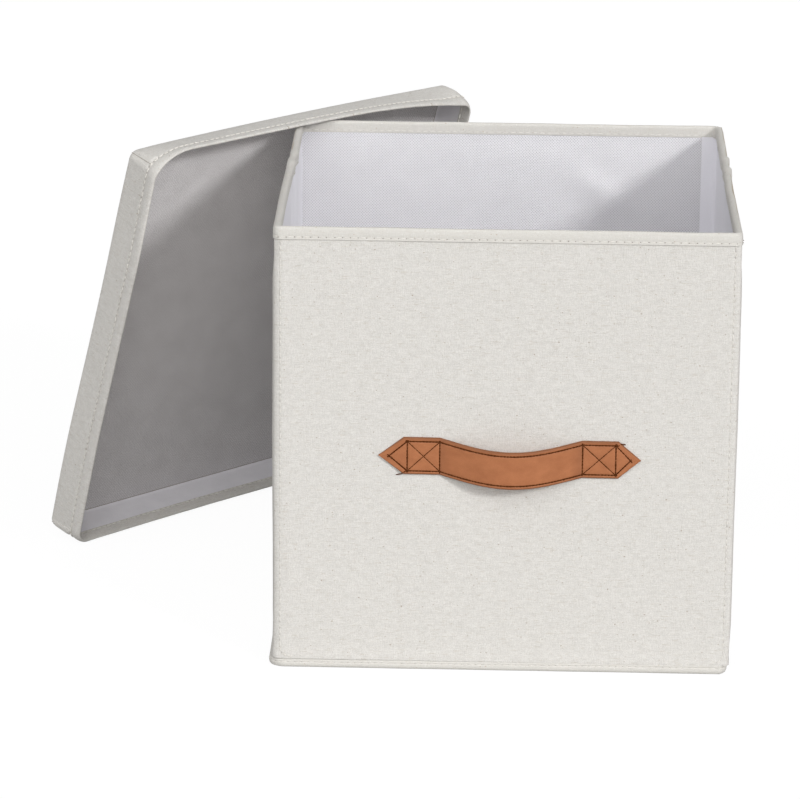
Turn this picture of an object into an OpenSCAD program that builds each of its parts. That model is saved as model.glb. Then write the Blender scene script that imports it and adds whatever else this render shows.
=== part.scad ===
// Fold-flat canvas storage cube with a lift-off lid and a leather strap handle.
// The box stands on the floor at z = 0, centred on the origin, with its front towards -Y.
// Every wall is a board between canvas and lining. The side walls crease at mid depth and
// fold inwards, the base board swings up against the front, and the pack is then flat.
// The lid stands beside the box: its lower rim on the floor, its top flange pushed
// outwards where it hangs over the box's rear left corner.

/* [Box] */
// Outside width of the box, left to right
box_w = 330; // [280:1:420]
// Outside depth of the box, front to back
box_d = 330; // [280:1:420]
// Height of the box
box_h = 330; // [240:1:420]

/* [Walls] */
// Thickness of the board inside each wall
board_t = 2; // [1:0.1:3]
// Thickness of the outer canvas
cloth_t = 0.6; // [0.3:0.1:1]
// Thickness of the non-woven lining
lining_t = 0.4; // [0.2:0.1:0.8]
// Thickness of the tape that binds the top edge
tape_t = 0.5; // [0.3:0.1:0.8]
// How far the binding tape reaches down each side of a wall
tape_drop = 9; // [5:0.5:15]
// Rounding of the bound top edge
tape_round = 1.2; // [0.6:0.1:1.4]
// Outside rounding of the upright corners
corner_r = 3; // [1.5:0.1:4]
// Distance from an upright corner to its line of topstitching
corner_seam = 4.5; // [4:0.5:8]

/* [Folding] */
// Clearance between pieces that fold past each other
fold_gap = 0.3; // [0.2:0.1:0.6]

/* [Bottom] */
// Height of the bound seam that runs round the bottom
band_h = 7; // [6:0.5:12]
// Rounding under the bound seam
band_round = 3; // [1:0.1:3.2]
// Thickness of the cloth under the box
bottom_t = 0.6; // [0.3:0.1:1]
// Thickness of the board in the base insert
base_board_t = 2.6; // [1.5:0.1:3]
// Thickness of the sleeve round the base insert
base_cover_t = 0.4; // [0.2:0.1:0.6]

/* [Handle] */
// Width of the strap, measured up the front
strap_w = 27.6; // [18:0.1:36]
// Thickness of the strap
strap_t = 2.4; // [1.5:0.1:4]
// Free length between the two sewn ends
loop_span = 101; // [80:1:130]
// Length of the sewn square at each end
tab_l = 26; // [18:0.5:34]
// Length of the pointed tip beyond each sewn square
tip_l = 18; // [8:0.5:26]
// How far the free middle stands out from the front
loop_bulge = 15.4; // [10:0.1:24]
// How far the free middle hangs below its ends
loop_droop = 6.5; // [0:0.5:14]
// Height of the handle's centre line above the floor
handle_z = 162.3; // [80:0.1:240]
// Sideways place of the handle's middle
handle_x = 4.8; // [-20:0.1:20]

/* [Lid] */
// Depth of the lid, from its outer face to its rim
lid_h = 35.5; // [24:0.5:60]
// Thickness of the lid's canvas
lid_cloth_t = 0.5; // [0.3:0.1:0.8]
// Thickness of the lid's stiffening board
lid_board_t = 0.7; // [0.5:0.1:1.5]
// Thickness of the lid's lining
lid_lining_t = 0.3; // [0.2:0.1:0.6]
// Width of the hem folded in along the rim
hem_w = 11; // [6:0.5:16]
// Thickness of the folded hem
hem_t = 0.5; // [0.3:0.1:0.8]
// Clearance between the hem and the box's top edge, all round
lid_gap = 0.5; // [0.3:0.1:1.5]

/* [Lid leaning beside the box] */
// Turn of the lid's face from the box's front
lid_yaw = 46.1; // [35:0.1:55]
// Distance from the lid's left end to the box's corner
corner_u = 163; // [120:1:200]
// Distance from the lid's outer face to the box's corner
corner_w = 9.1; // [6:0.1:14]
// How far the top flange has risen where the corner meets it
corner_rise = 4.3; // [3:0.1:8]
// Extra rise of the flange's rim above the box's top
rim_lift = 1; // [0.8:0.1:4]
// Clearance between the box's corner and the flange above it
seat_gap = 0.3; // [0.2:0.1:0.9]

/* [Hidden] */
$fn = 48;

// Walls
wall_t = cloth_t + board_t + lining_t;
skin_x = box_w / 2 - tape_t;            // outer face of the canvas on the side walls
skin_y = box_d / 2 - tape_t;            // outer face of the canvas on the front and rear
in_x = skin_x - wall_t;                 // lining face of the side walls
in_y = skin_y - wall_t;                 // lining face of the front and rear
wall_top = box_h - tape_t;
wall_foot = band_h + fold_gap;          // lower edge of the walls that fold

// Base insert, hinged at the top of its front edge
base_t = base_board_t + 2 * base_cover_t;
base_z0 = bottom_t + fold_gap;
base_z1 = base_z0 + base_t;
base_half_w = in_x - tape_t - 2 * fold_gap;
base_half_d = in_y - tape_t - fold_gap;

// Upright fold lines: the corners turn on the lining face, the creases on the outer face
front_fold_y = -base_half_d + base_t + fold_gap + tape_t;
rear_fold_y = in_y - 2 * tape_t - fold_gap;
crease_y = (front_fold_y + rear_fold_y) / 2;
crease_slit = fold_gap / 2;             // half of the slit between the two halves of a side
half_ends_front = [front_fold_y, crease_y - crease_slit];
half_ends_rear = [crease_y + crease_slit, rear_fold_y];

// Lid
lid_t = lid_cloth_t + lid_board_t + lid_lining_t;
lid_margin = lid_gap + hem_t + lid_t;
lid_w = box_w + 2 * lid_margin;
lid_d = box_d + 2 * lid_margin;
layer_end = lid_h - hem_t;              // where the flanges' layers end under the folded hem

// The lid's lower rim is on the floor. Its top flange hangs over the box's corner, and the
// reach from the rim to the flange then gives the lean. A lid that is too short for that
// leans with its upper rim against the upright corner instead.
reach_v = lid_d - lid_t + corner_rise - seat_gap;
reach_w = lid_h - corner_w;
hangs_over = box_h <= norm([reach_v, reach_w]);
short_lid_lean = 14;
lid_lean = hangs_over
    ? atan2(reach_w, reach_v) + acos(box_h / norm([reach_v, reach_w]))
    : short_lid_lean;

// The box's corner in the lid's own directions, up its face and out to its rim
rim_v = lid_d + bow_rise(lid_h);
meet_w = hangs_over
    ? corner_w
    : (lid_h + seat_gap + rim_v * tan(lid_lean)
        - (box_h - lid_h * sin(lid_lean)) * tan(lid_lean) / cos(lid_lean))
        / (1 + pow(tan(lid_lean), 2));
meet_v = (box_h - (lid_h - meet_w) * sin(lid_lean)) / cos(lid_lean);

lid_u_dir = [cos(lid_yaw), sin(lid_yaw), 0];
lid_out = [sin(lid_yaw), -cos(lid_yaw), 0];
lid_v_dir = cos(lid_lean) * [0, 0, 1] + sin(lid_lean) * lid_out;
lid_w_dir = cos(lid_lean) * lid_out - sin(lid_lean) * [0, 0, 1];
box_corner = [-box_w / 2, box_d / 2, box_h];
lid_origin = box_corner - corner_u * lid_u_dir - meet_v * lid_v_dir - meet_w * lid_w_dir;

// Bow of the top flange: a quick rise near its left end, a slow fall to its right end
bow_left = 14;
bow_right = 60;
bow_steps = 20;
function bow_share(u) =
    (1 - exp(-pow(u / bow_left, 2))) * (1 - exp(-pow(max(lid_w - u, 0) / bow_right, 1.3)));
function bow_rise(s) = s < corner_w
    ? corner_rise * s / corner_w
    : corner_rise + (s - corner_w) * (tan(lid_lean) + rim_lift / (lid_h - corner_w));
function bow(u, s) = bow_rise(s) * bow_share(u) / bow_share(corner_u);
bow_pull = 1 - cos(lid_lean + 3);       // how much the tilted flange loses in depth
function bow_depth(u, s) = s - bow_pull * pow(bow_share(u), 2) * max(s - lid_t, 0);

// Colours
canvas = "#e9e6df";
binding = "#efede6";
nonwoven = "#e2e1e6";
greyboard = "#b9a98c";
leather = "#b0754a";

// ---------- Walls ----------

// One layer of the left wall, out mm behind the canvas face, between two depths
module side_layer(out, thick, ends) {
    translate([-skin_x + out, ends[0], wall_foot])
        cube([thick, ends[1] - ends[0], wall_top - wall_foot]);
}

// One layer of the front wall
module front_layer(out, thick, half_w, foot) {
    translate([-half_w, -skin_y + out, foot])
        cube([2 * half_w, thick, wall_top - foot]);
}

// Binding tape folded over a wall's top edge, as a profile: outer face at x = 0, top at y = 0
module tape_profile() {
    over = wall_t + 2 * tape_t;
    difference() {
        union() {
            translate([0, -tape_drop]) square([over, tape_drop - tape_round]);
            translate([tape_round, -tape_drop]) square([over - 2 * tape_round, tape_drop]);
            for (x = [tape_round, over - tape_round])
                translate([x, -tape_round]) circle(tape_round);
        }
        translate([tape_t, -tape_drop - 1]) square([wall_t, tape_drop + 1 - tape_t]);
    }
}

// Tape along the left wall between two depths
module side_tape(ends) {
    translate([-box_w / 2, ends[1], box_h])
        rotate([90, 0, 0]) linear_extrude(ends[1] - ends[0]) tape_profile();
}

// Tape along the front wall
module front_tape() {
    translate([-box_w / 2, -box_d / 2, box_h])
        rotate([90, 0, 90]) linear_extrude(box_w) tape_profile();
}

// Canvas round the front left upright corner, reaching leg_y back along the side
module corner_strip(leg_y, foot) {
    translate([-skin_x, -skin_y, foot]) linear_extrude(wall_top - foot) {
        translate([corner_r, 0]) square([corner_seam - corner_r, cloth_t]);
        translate([0, corner_r]) square([cloth_t, leg_y - corner_r]);
        intersection() {
            translate([corner_r, corner_r]) difference() {
                circle(corner_r);
                circle(corner_r - cloth_t);
            }
            square(corner_r);
        }
    }
}

module front_board() color(greyboard)
    front_layer(cloth_t, board_t, skin_x - corner_r, band_h);
module front_cloth() color(canvas)
    front_layer(0, cloth_t, skin_x - corner_seam, band_h);
module front_lining() color(nonwoven)
    front_layer(cloth_t + board_t, lining_t, in_x, band_h);
module front_left_corner() color(canvas)
    corner_strip(front_fold_y - fold_gap / 2 + skin_y, band_h);
module front_right_corner() mirror([1, 0, 0]) front_left_corner();

// Room that the left wall takes at the front corner, up to a depth
module corner_room(end_y) {
    translate([-skin_x, -skin_y, wall_foot])
        cube([wall_t, end_y + skin_y, wall_top - wall_foot]);
}

// The front tape turns both upright corners and ends short of the side walls' fold lines,
// where the folding tapes swing past it
front_tape_end = front_fold_y - tape_t - fold_gap;
module front_rim_tape() color(binding) {
    difference() {
        front_tape();
        for (side = [0, 1]) mirror([side, 0, 0]) corner_room(front_fold_y);
    }
    for (side = [0, 1]) mirror([side, 0, 0])
        side_tape([-box_d / 2 + wall_t + 2 * tape_t, front_tape_end]);
}

module rear_board() color(greyboard) mirror([0, 1, 0])
    front_layer(cloth_t, board_t, skin_x - corner_r, wall_foot);
module rear_cloth() color(canvas) mirror([0, 1, 0])
    front_layer(0, cloth_t, skin_x - corner_seam, wall_foot);
module rear_lining() color(nonwoven) mirror([0, 1, 0])
    front_layer(cloth_t + board_t, lining_t, in_x, wall_foot);
module rear_rim_tape() color(binding) mirror([0, 1, 0]) difference() {
    front_tape();
    for (side = [0, 1]) mirror([side, 0, 0]) corner_room(front_fold_y);
}
module rear_left_corner() color(canvas) mirror([0, 1, 0])
    corner_strip(skin_y - rear_fold_y - fold_gap / 2, wall_foot);
module rear_right_corner() mirror([1, 0, 0]) rear_left_corner();

module left_front_board() color(greyboard) side_layer(cloth_t, board_t, half_ends_front);
module left_front_cloth() color(canvas) side_layer(0, cloth_t, half_ends_front);
module left_front_lining() color(nonwoven) side_layer(cloth_t + board_t, lining_t, half_ends_front);
module left_front_rim_tape() color(binding) side_tape(half_ends_front);
module left_rear_board() color(greyboard) side_layer(cloth_t, board_t, half_ends_rear);
module left_rear_cloth() color(canvas) side_layer(0, cloth_t, half_ends_rear);
module left_rear_lining() color(nonwoven) side_layer(cloth_t + board_t, lining_t, half_ends_rear);
module left_rear_rim_tape() color(binding) side_tape(half_ends_rear);

module right_front_board() mirror([1, 0, 0]) left_front_board();
module right_front_cloth() mirror([1, 0, 0]) left_front_cloth();
module right_front_lining() mirror([1, 0, 0]) left_front_lining();
module right_front_rim_tape() mirror([1, 0, 0]) left_front_rim_tape();
module right_rear_board() mirror([1, 0, 0]) left_rear_board();
module right_rear_cloth() mirror([1, 0, 0]) left_rear_cloth();
module right_rear_lining() mirror([1, 0, 0]) left_rear_lining();
module right_rear_rim_tape() mirror([1, 0, 0]) left_rear_rim_tape();

// ---------- Bottom ----------

band_t = wall_t + tape_t;               // the bound seam is as thick as a wall and its tape
band_corner = band_t + 1;               // outside rounding of the seam, seen from above

// Cross-section of the bound seam: outer face at x = 0, floor at y = 0
module band_profile() {
    difference() {
        square([band_t, band_h]);
        square(band_round);
    }
    intersection() {
        translate([band_round, band_round]) circle(band_round);
        square(band_round);
    }
}

// Straight run of the seam along the front, between the rounded corners
module band_front_run() {
    translate([-box_w / 2 + band_corner, -box_d / 2, 0])
        rotate([90, 0, 90]) linear_extrude(box_w - 2 * band_corner) band_profile();
}

// Rounded corner of the seam at the front left
module band_turn() {
    translate([-box_w / 2 + band_corner, -box_d / 2 + band_corner, 0])
        rotate([0, 0, 180]) rotate_extrude(angle = 90)
            translate([band_corner, 0]) mirror([1, 0]) band_profile();
}

module bottom_cloth() color(nonwoven)
    translate([-box_w / 2 + band_t, -box_d / 2 + band_t, 0])
        cube([box_w - 2 * band_t, box_d - 2 * band_t, bottom_t]);
module bottom_band_front() color(binding) {
    band_front_run();
    for (side = [0, 1]) mirror([side, 0, 0]) band_turn();
}
module bottom_band_rear() mirror([0, 1, 0]) bottom_band_front();
module bottom_band_left() color(binding)
    translate([-box_w / 2, box_d / 2 - band_corner, 0])
        rotate([90, 0, 0]) linear_extrude(box_d - 2 * band_corner) band_profile();
module bottom_band_right() mirror([1, 0, 0]) bottom_band_left();

module base_board() color(greyboard)
    translate([-base_half_w, -base_half_d + base_cover_t, base_z0 + base_cover_t])
        cube([2 * base_half_w, 2 * (base_half_d - base_cover_t), base_board_t]);

// Sleeve sewn round the base board, open at its left and right ends
module base_cover() color(nonwoven) difference() {
    translate([-base_half_w, -base_half_d, base_z0])
        cube([2 * base_half_w, 2 * base_half_d, base_t]);
    translate([-base_half_w - 1, -base_half_d + base_cover_t, base_z0 + base_cover_t])
        cube([2 * base_half_w + 2, 2 * (base_half_d - base_cover_t), base_board_t]);
}

// ---------- Handle ----------

loop_steps = 30;
tab_x = loop_span / 2 + tab_l;          // outer end of each sewn square, from the middle
function loop_arc(q) = pow(max(sin(180 * q), 0), 1.3);
function loop_hang(q) = pow(max(sin(180 * q), 0), 0.85);
function loop_x(q) = (q - 0.5) * loop_span;
loop_shares = [for (i = [0 : loop_steps]) i / loop_steps];
loop_shares_back = [for (i = [loop_steps : -1 : 0]) i / loop_steps];

// The strap seen from above: flat on the wall at both ends, standing out between them
module strap_plan() {
    polygon(concat(
        [[-tab_x - tip_l, 0], [-tab_x - tip_l, -strap_t]],
        [for (q = loop_shares) [loop_x(q), -strap_t - loop_bulge * loop_arc(q)]],
        [[tab_x + tip_l, -strap_t], [tab_x + tip_l, 0]],
        [for (q = loop_shares_back) [loop_x(q), -loop_bulge * loop_arc(q)]]
    ));
}

// The strap seen from the front: pointed tips, sewn squares and the hanging middle
module strap_front() {
    polygon(concat(
        [[-tab_x - tip_l, 0], [-tab_x, strap_w / 2]],
        [for (q = loop_shares) [loop_x(q), strap_w / 2 - loop_droop * loop_hang(q)]],
        [[tab_x, strap_w / 2], [tab_x + tip_l, 0], [tab_x, -strap_w / 2]],
        [for (q = loop_shares_back) [loop_x(q), -strap_w / 2 - loop_droop * loop_hang(q)]],
        [[-tab_x, -strap_w / 2]]
    ));
}

module handle_strap() color(leather) translate([handle_x, -skin_y, handle_z]) intersection() {
    translate([0, 0, -strap_w]) linear_extrude(2 * strap_w) strap_plan();
    translate([0, 1, 0]) rotate([90, 0, 0])
        linear_extrude(loop_bulge + strap_t + 2) strap_front();
}

// ---------- Lid ----------
// Drawn in its own directions: u along its lower edge, v up its face, w out to its rim.

module leaning() {
    translate(lid_origin) rotate([90 + lid_lean, 0, lid_yaw]) children();
}

// Flat layer under the lid's face
module face_layer(inset, thick) {
    translate([inset, inset, inset])
        cube([lid_w - 2 * inset, lid_d - 2 * inset, thick]);
}

// Flat layer of the left flange
module left_flange(inset, thick, from, to) {
    translate([inset, inset, from])
        cube([thick, lid_d - 2 * inset - thick, to - from]);
}

module right_flange(inset, thick, from, to) {
    translate([lid_w, 0, 0]) mirror([1, 0, 0]) left_flange(inset, thick, from, to);
}

// Flat layer of the bottom flange, between the two side flanges
module bottom_flange(inset, thick, from, to) {
    translate([inset + thick, inset, from])
        cube([lid_w - 2 * (inset + thick), thick, to - from]);
}

// Places along the lid's width where every layer of the bowed flange has a row of points
hem_in = lid_t + hem_t;                 // inner face of the hem
bow_margin = hem_in + 1;
bow_stations = [for (i = [0 : bow_steps])
    bow_margin + (lid_w - 2 * bow_margin) * (1 - cos(180 * i / bow_steps)) / 2];

// A strip of cloth or board drawn along the bowed top flange. Its section is given by two
// edges with as many points, each a depth below the outer face and a distance from the fold.
module bowed_strip(edge_a, edge_b, end_inset) {
    pairs = len(edge_a);
    sides = 2 * pairs;
    section = concat(edge_a, [for (k = [pairs - 1 : -1 : 0]) edge_b[k]]);
    across = concat([end_inset], bow_stations, [lid_w - end_inset]);
    points = [for (u = across, p = section)
        [u, lid_d - p[0] + bow(u, p[1]), bow_depth(u, p[1])]];
    // Both faces of a strip are split along the same diagonals, so that layers fit
    skin = [for (i = [0 : len(across) - 2], k = [0 : sides - 1]) let (
            a = i * sides + k,
            b = i * sides + (k + 1) % sides
        ) each k < pairs
            ? [[a, a + sides, b], [b, a + sides, b + sides]]
            : [[a, a + sides, b + sides], [a, b + sides, b]]];
    last = (len(across) - 1) * sides;
    ends = [for (k = [0 : pairs - 2]) let (m = sides - 1 - k) each [
            [k, k + 1, m - 1], [k, m - 1, m],
            [last + k, last + m - 1, last + k + 1], [last + k, last + m, last + m - 1]
        ]];
    polyhedron(points, concat(skin, ends));
}

// Distances from the fold at which every layer has a row of points, so that layers fit
layer_rows = [lid_t, corner_w, lid_h - hem_w, layer_end - hem_t];
function rows(from, to) =
    concat([from], [for (s = layer_rows) if (s > from && s < to) s], [to]);

// Layer of the bowed top flange, from one distance to another
module top_flange(inset, thick, from, to, end_inset) {
    bowed_strip(
        [for (s = rows(from, to)) [inset, s]],
        [for (s = rows(from, to)) [inset + thick, s]],
        end_inset
    );
}

// Canvas or lining over the face and the three straight flanges
module tray_skin(inset, thick) {
    face_layer(inset, thick);
    left_flange(inset, thick, inset, layer_end);
    right_flange(inset, thick, inset, layer_end);
    bottom_flange(inset, thick, inset, layer_end);
}

lining_inset = lid_cloth_t + lid_board_t;
flange_from = lid_cloth_t + lid_board_t;    // the flanges' boards stand on the face board

module lid_board() color(greyboard) leaning() face_layer(lid_cloth_t, lid_board_t);
module lid_left_board() color(greyboard) leaning()
    left_flange(lid_cloth_t, lid_board_t, flange_from, layer_end);
module lid_right_board() color(greyboard) leaning()
    right_flange(lid_cloth_t, lid_board_t, flange_from, layer_end);
module lid_bottom_board() color(greyboard) leaning()
    bottom_flange(lid_cloth_t, lid_board_t, flange_from, layer_end);
module lid_top_board() color(greyboard) leaning()
    top_flange(lid_cloth_t, lid_board_t, flange_from, layer_end, lid_cloth_t);

module lid_cloth() color(canvas) leaning() tray_skin(0, lid_cloth_t);
module lid_top_cloth() color(canvas) leaning()
    top_flange(0, lid_cloth_t, lid_cloth_t, layer_end, 0);
module lid_lining() color(nonwoven) leaning() tray_skin(lining_inset, lid_lining_t);
module lid_top_lining() color(nonwoven) leaning()
    top_flange(lining_inset, lid_lining_t, lid_t, layer_end, lining_inset);

// Hem: canvas turned over the rim and stitched down inside the flange.
// Here its fold over the rim runs through to both corners
module left_hem() {
    translate([0, 0, layer_end]) cube([hem_in, lid_d, hem_t]);
    translate([lid_t, lid_t, lid_h - hem_w]) cube([hem_t, lid_d - lid_t - hem_in, hem_w - hem_t]);
}

module lid_left_hem() color(binding) leaning() left_hem();
module lid_right_hem() color(binding) leaning()
    translate([lid_w, 0, 0]) mirror([1, 0, 0]) left_hem();
module lid_bottom_hem() color(binding) leaning() {
    translate([hem_in, 0, layer_end]) cube([lid_w - 2 * hem_in, hem_in, hem_t]);
    translate([hem_in, lid_t, lid_h - hem_w]) cube([lid_w - 2 * hem_in, hem_t, hem_w - hem_t]);
}
module lid_top_hem() color(binding) leaning() {
    leg = rows(lid_h - hem_w, layer_end - hem_t);
    bowed_strip(
        concat([for (s = leg) [lid_t, s]], [[lid_t, layer_end], [0, layer_end]]),
        concat([for (s = leg) [hem_in, s]], [[hem_in, lid_h], [0, lid_h]]),
        hem_in
    );
}

// ---------- Assembly ----------

front_board();
front_cloth();
front_lining();
front_rim_tape();
front_left_corner();
front_right_corner();
rear_board();
rear_cloth();
rear_lining();
rear_rim_tape();
rear_left_corner();
rear_right_corner();
left_front_board();
left_front_cloth();
left_front_lining();
left_front_rim_tape();
left_rear_board();
left_rear_cloth();
left_rear_lining();
left_rear_rim_tape();
right_front_board();
right_front_cloth();
right_front_lining();
right_front_rim_tape();
right_rear_board();
right_rear_cloth();
right_rear_lining();
right_rear_rim_tape();
bottom_cloth();
bottom_band_front();
bottom_band_rear();
bottom_band_left();
bottom_band_right();
base_board();
base_cover();
handle_strap();
lid_board();
lid_left_board();
lid_right_board();
lid_bottom_board();
lid_top_board();
lid_cloth();
lid_top_cloth();
lid_lining();
lid_top_lining();
lid_left_hem();
lid_right_hem();
lid_bottom_hem();
lid_top_hem();
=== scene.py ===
# %% [markdown]
# # A fold-flat storage cube with a lid
# This lesson dresses a canvas storage cube that has already been drawn as solid parts. The
# parts give every size. Here each soft piece is made again as cloth: canvas, lining, tape,
# hem, leather and thread. All lengths are written in millimetres and turned to metres once.

# %% Load the frame
import math

import bpy
import numpy as np
from mathutils import Matrix, Vector


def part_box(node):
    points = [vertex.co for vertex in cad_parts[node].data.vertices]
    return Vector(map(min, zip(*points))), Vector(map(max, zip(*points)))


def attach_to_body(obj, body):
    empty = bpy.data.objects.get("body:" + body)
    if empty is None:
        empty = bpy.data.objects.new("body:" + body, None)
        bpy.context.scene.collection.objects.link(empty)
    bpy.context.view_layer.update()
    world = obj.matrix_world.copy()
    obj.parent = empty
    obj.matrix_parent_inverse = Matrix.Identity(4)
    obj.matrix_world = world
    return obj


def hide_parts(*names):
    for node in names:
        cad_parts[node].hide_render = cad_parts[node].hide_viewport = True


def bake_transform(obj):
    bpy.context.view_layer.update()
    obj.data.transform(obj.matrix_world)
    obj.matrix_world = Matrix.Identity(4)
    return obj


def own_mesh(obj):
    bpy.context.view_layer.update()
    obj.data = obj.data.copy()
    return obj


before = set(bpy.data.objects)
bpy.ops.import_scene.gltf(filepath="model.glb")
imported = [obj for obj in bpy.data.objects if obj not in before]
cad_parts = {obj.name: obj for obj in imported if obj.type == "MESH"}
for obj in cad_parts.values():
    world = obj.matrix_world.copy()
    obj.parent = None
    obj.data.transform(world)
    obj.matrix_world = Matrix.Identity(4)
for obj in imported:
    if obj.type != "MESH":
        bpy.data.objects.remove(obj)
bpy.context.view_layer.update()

# %% [markdown]
# ## Sizes
# The cube is 330 mm each way. The walls are 3 mm of canvas, board and lining, bound at the
# top by a tape. The side walls fold inwards at upright lines, so the cloth that crosses a
# line is split half way between two lines, and each length bends at one line only.

# %% Sizes of the cube
MM = 0.001
HALF = 165.0            # outer face of the binding tape, from the middle
SKIN = 164.5            # outer face of the canvas
INNER = 161.5           # face of the lining
TOP = 330.0
FRONT_FOLD = -156.5     # where the side walls fold at the front
REAR_FOLD = 160.2
CREASE = 1.85           # where they crease at mid depth
QUARTER = 80.0          # where one length of side cloth ends and the next begins
GATHERS = (26, 42, 58)  # depths behind the crease where cloth and tape are gathered
CANVAS_TURN = 4.2       # how round the canvas turns the upright corners
CORNER_SEAM = 4.9       # from each upright corner to its row of stitches
CANVAS_THICK, LINING_THICK = 0.5, 0.35
print("the cube is", 2 * HALF, "mm wide and", TOP, "mm high")


def smooth(x, low, high):
    """0 below low, 1 above high, and an even ramp between."""
    t = np.clip((np.asarray(x, float) - low) / (high - low), 0, 1)
    return t * t * (3 - 2 * t)


def bump(x, centre, width):
    """1 at the centre, fading over the width to both sides."""
    return np.exp(-(((np.asarray(x, float) - centre) / width) ** 2))


def xyz(x, y, z):
    """Points from three coordinates, which may be rows, columns or single numbers."""
    return np.stack(np.broadcast_arrays(x, y, z), -1).astype(float)


def ripple(points, length, seed):
    """Soft waves about as long as length, between -1 and 1, the same on every run."""
    draw = np.random.default_rng(seed)
    total = np.zeros(points.shape[:-1])
    for _ in range(7):
        way = draw.normal(size=3)
        way *= 2 * math.pi / (length * draw.uniform(0.7, 1.6) * np.linalg.norm(way))
        total += np.sin(points @ way + draw.uniform(0, 2 * math.pi))
    return total / 4.5


# %% [markdown]
# ## Camera
# The camera is far away with a long lens, a little above the rim, as in a catalogue shot.

# %% Camera
def place_camera(at, lens, down, turn, roll):
    """Sets the camera at a place in metres and turns it by three angles in degrees."""
    camera = bpy.data.objects.new("camera", bpy.data.cameras.new("camera"))
    camera.data.sensor_width = 36
    camera.data.lens = lens
    camera.data.clip_end = 50
    down, turn, roll = (math.radians(angle) for angle in (down, turn, roll))
    look = (Matrix.Rotation(turn, 4, "Z") @ Matrix.Rotation(math.pi / 2 - down, 4, "X")
            @ Matrix.Rotation(roll, 4, "Z"))
    camera.matrix_world = Matrix.Translation(at) @ look
    bpy.context.collection.objects.link(camera)
    bpy.context.scene.camera = camera


place_camera((-0.000946, -3.09543, 1.09539), lens=194.06, down=16.905, turn=1.441, roll=0.531)
print("the camera looks through a lens of", bpy.context.scene.camera.data.lens, "mm")

# %% [markdown]
# ## Materials
# A finish is a small network of nodes. The helper below adds a node, sets its plain values
# and links the rest, so that each finish reads as a short list. Patterns follow the cloth,
# because they read the piece's own map, which is laid out in metres along the threads.


# %% Helper for node networks
def add_node(tree, kind, options=None, **inputs):
    """Adds a node; an input is a number, a colour, or another node's output."""
    node = tree.nodes.new(kind)
    for key, value in (options or {}).items():
        setattr(node, key, value)
    for key, value in inputs.items():
        if key[:1] == "i" and key[1:].isdigit():
            socket = node.inputs[int(key[1:])]
        else:
            socket = node.inputs[key.replace("_", " ")]
        if isinstance(value, bpy.types.NodeSocket):
            tree.links.new(value, socket)
        else:
            socket.default_value = value
    return node


def start_material(name):
    """A material with an empty network."""
    material = bpy.data.materials.new(name)
    material.use_nodes = True
    tree = material.node_tree
    tree.nodes.clear()
    return material, tree


def finish_material(material, tree, colour, height=None, depth=0.0002, **settings):
    """Closes a network: colour and height go to one shader, whose other sockets are plain."""
    shader = add_node(tree, "ShaderNodeBsdfPrincipled", Base_Color=colour, **settings)
    if height is not None:
        relief = add_node(tree, "ShaderNodeBump", Height=height, Distance=depth, Strength=1.0)
        tree.links.new(relief.outputs["Normal"], shader.inputs["Normal"])
    output = add_node(tree, "ShaderNodeOutputMaterial")
    tree.links.new(shader.outputs["BSDF"], output.inputs["Surface"])
    return material


def cloth_map(tree, scale):
    """The piece's own map, in metres along the threads, times a scale for each way."""
    source = add_node(tree, "ShaderNodeUVMap", {"uv_map": "threads"})
    return add_node(tree, "ShaderNodeMapping", Vector=source.outputs["UV"], Scale=scale).outputs[0]


def maths(tree, operation, a, b=0.0):
    """One step of arithmetic on numbers or outputs."""
    return add_node(tree, "ShaderNodeMath", {"operation": operation}, i0=a, i1=b).outputs[0]


def weighted(tree, a, share_a, b, share_b):
    """Two outputs added, each times its share."""
    return maths(tree, "ADD", maths(tree, "MULTIPLY", a, share_a),
                 maths(tree, "MULTIPLY", b, share_b))


def noise(tree, vector, scale, detail, rough):
    """Even random clouds between 0 and 1."""
    return add_node(tree, "ShaderNodeTexNoise", Vector=vector, Scale=scale, Detail=detail,
                    Roughness=rough).outputs[0]


def cloth_noise(tree, along, across, detail, rough):
    """Clouds laid on the cloth: how many to a metre along its threads and across them."""
    return noise(tree, cloth_map(tree, (along, across, 1)), 1.0, detail, rough)


def ramp(tree, value, low, high, to_low=0.0, to_high=1.0):
    """Stretches the range from low to high over the range from to_low to to_high."""
    return add_node(tree, "ShaderNodeMapRange", Value=value, From_Min=low, From_Max=high,
                    To_Min=to_low, To_Max=to_high).outputs[0]


def blend_colours(tree, share, a, b):
    """Colour a where the share is 0, and colour b where it is 1."""
    node = add_node(tree, "ShaderNodeMix", {"data_type": "RGBA"}, i0=share, i6=a, i7=b)
    return node.outputs[2]


# %% [markdown]
# ### Canvas
# The outer cloth is a plain weave of natural yarn. Seen from a step away it is off-white
# with short darker slubs along the weft and a few brown specks. Close up the two sets of
# threads show, so the weave itself is a relief made of two crossed waves. Noise stretched
# along the weft and the warp shades the yarns, and a fine grain breaks up each thread.


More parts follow.
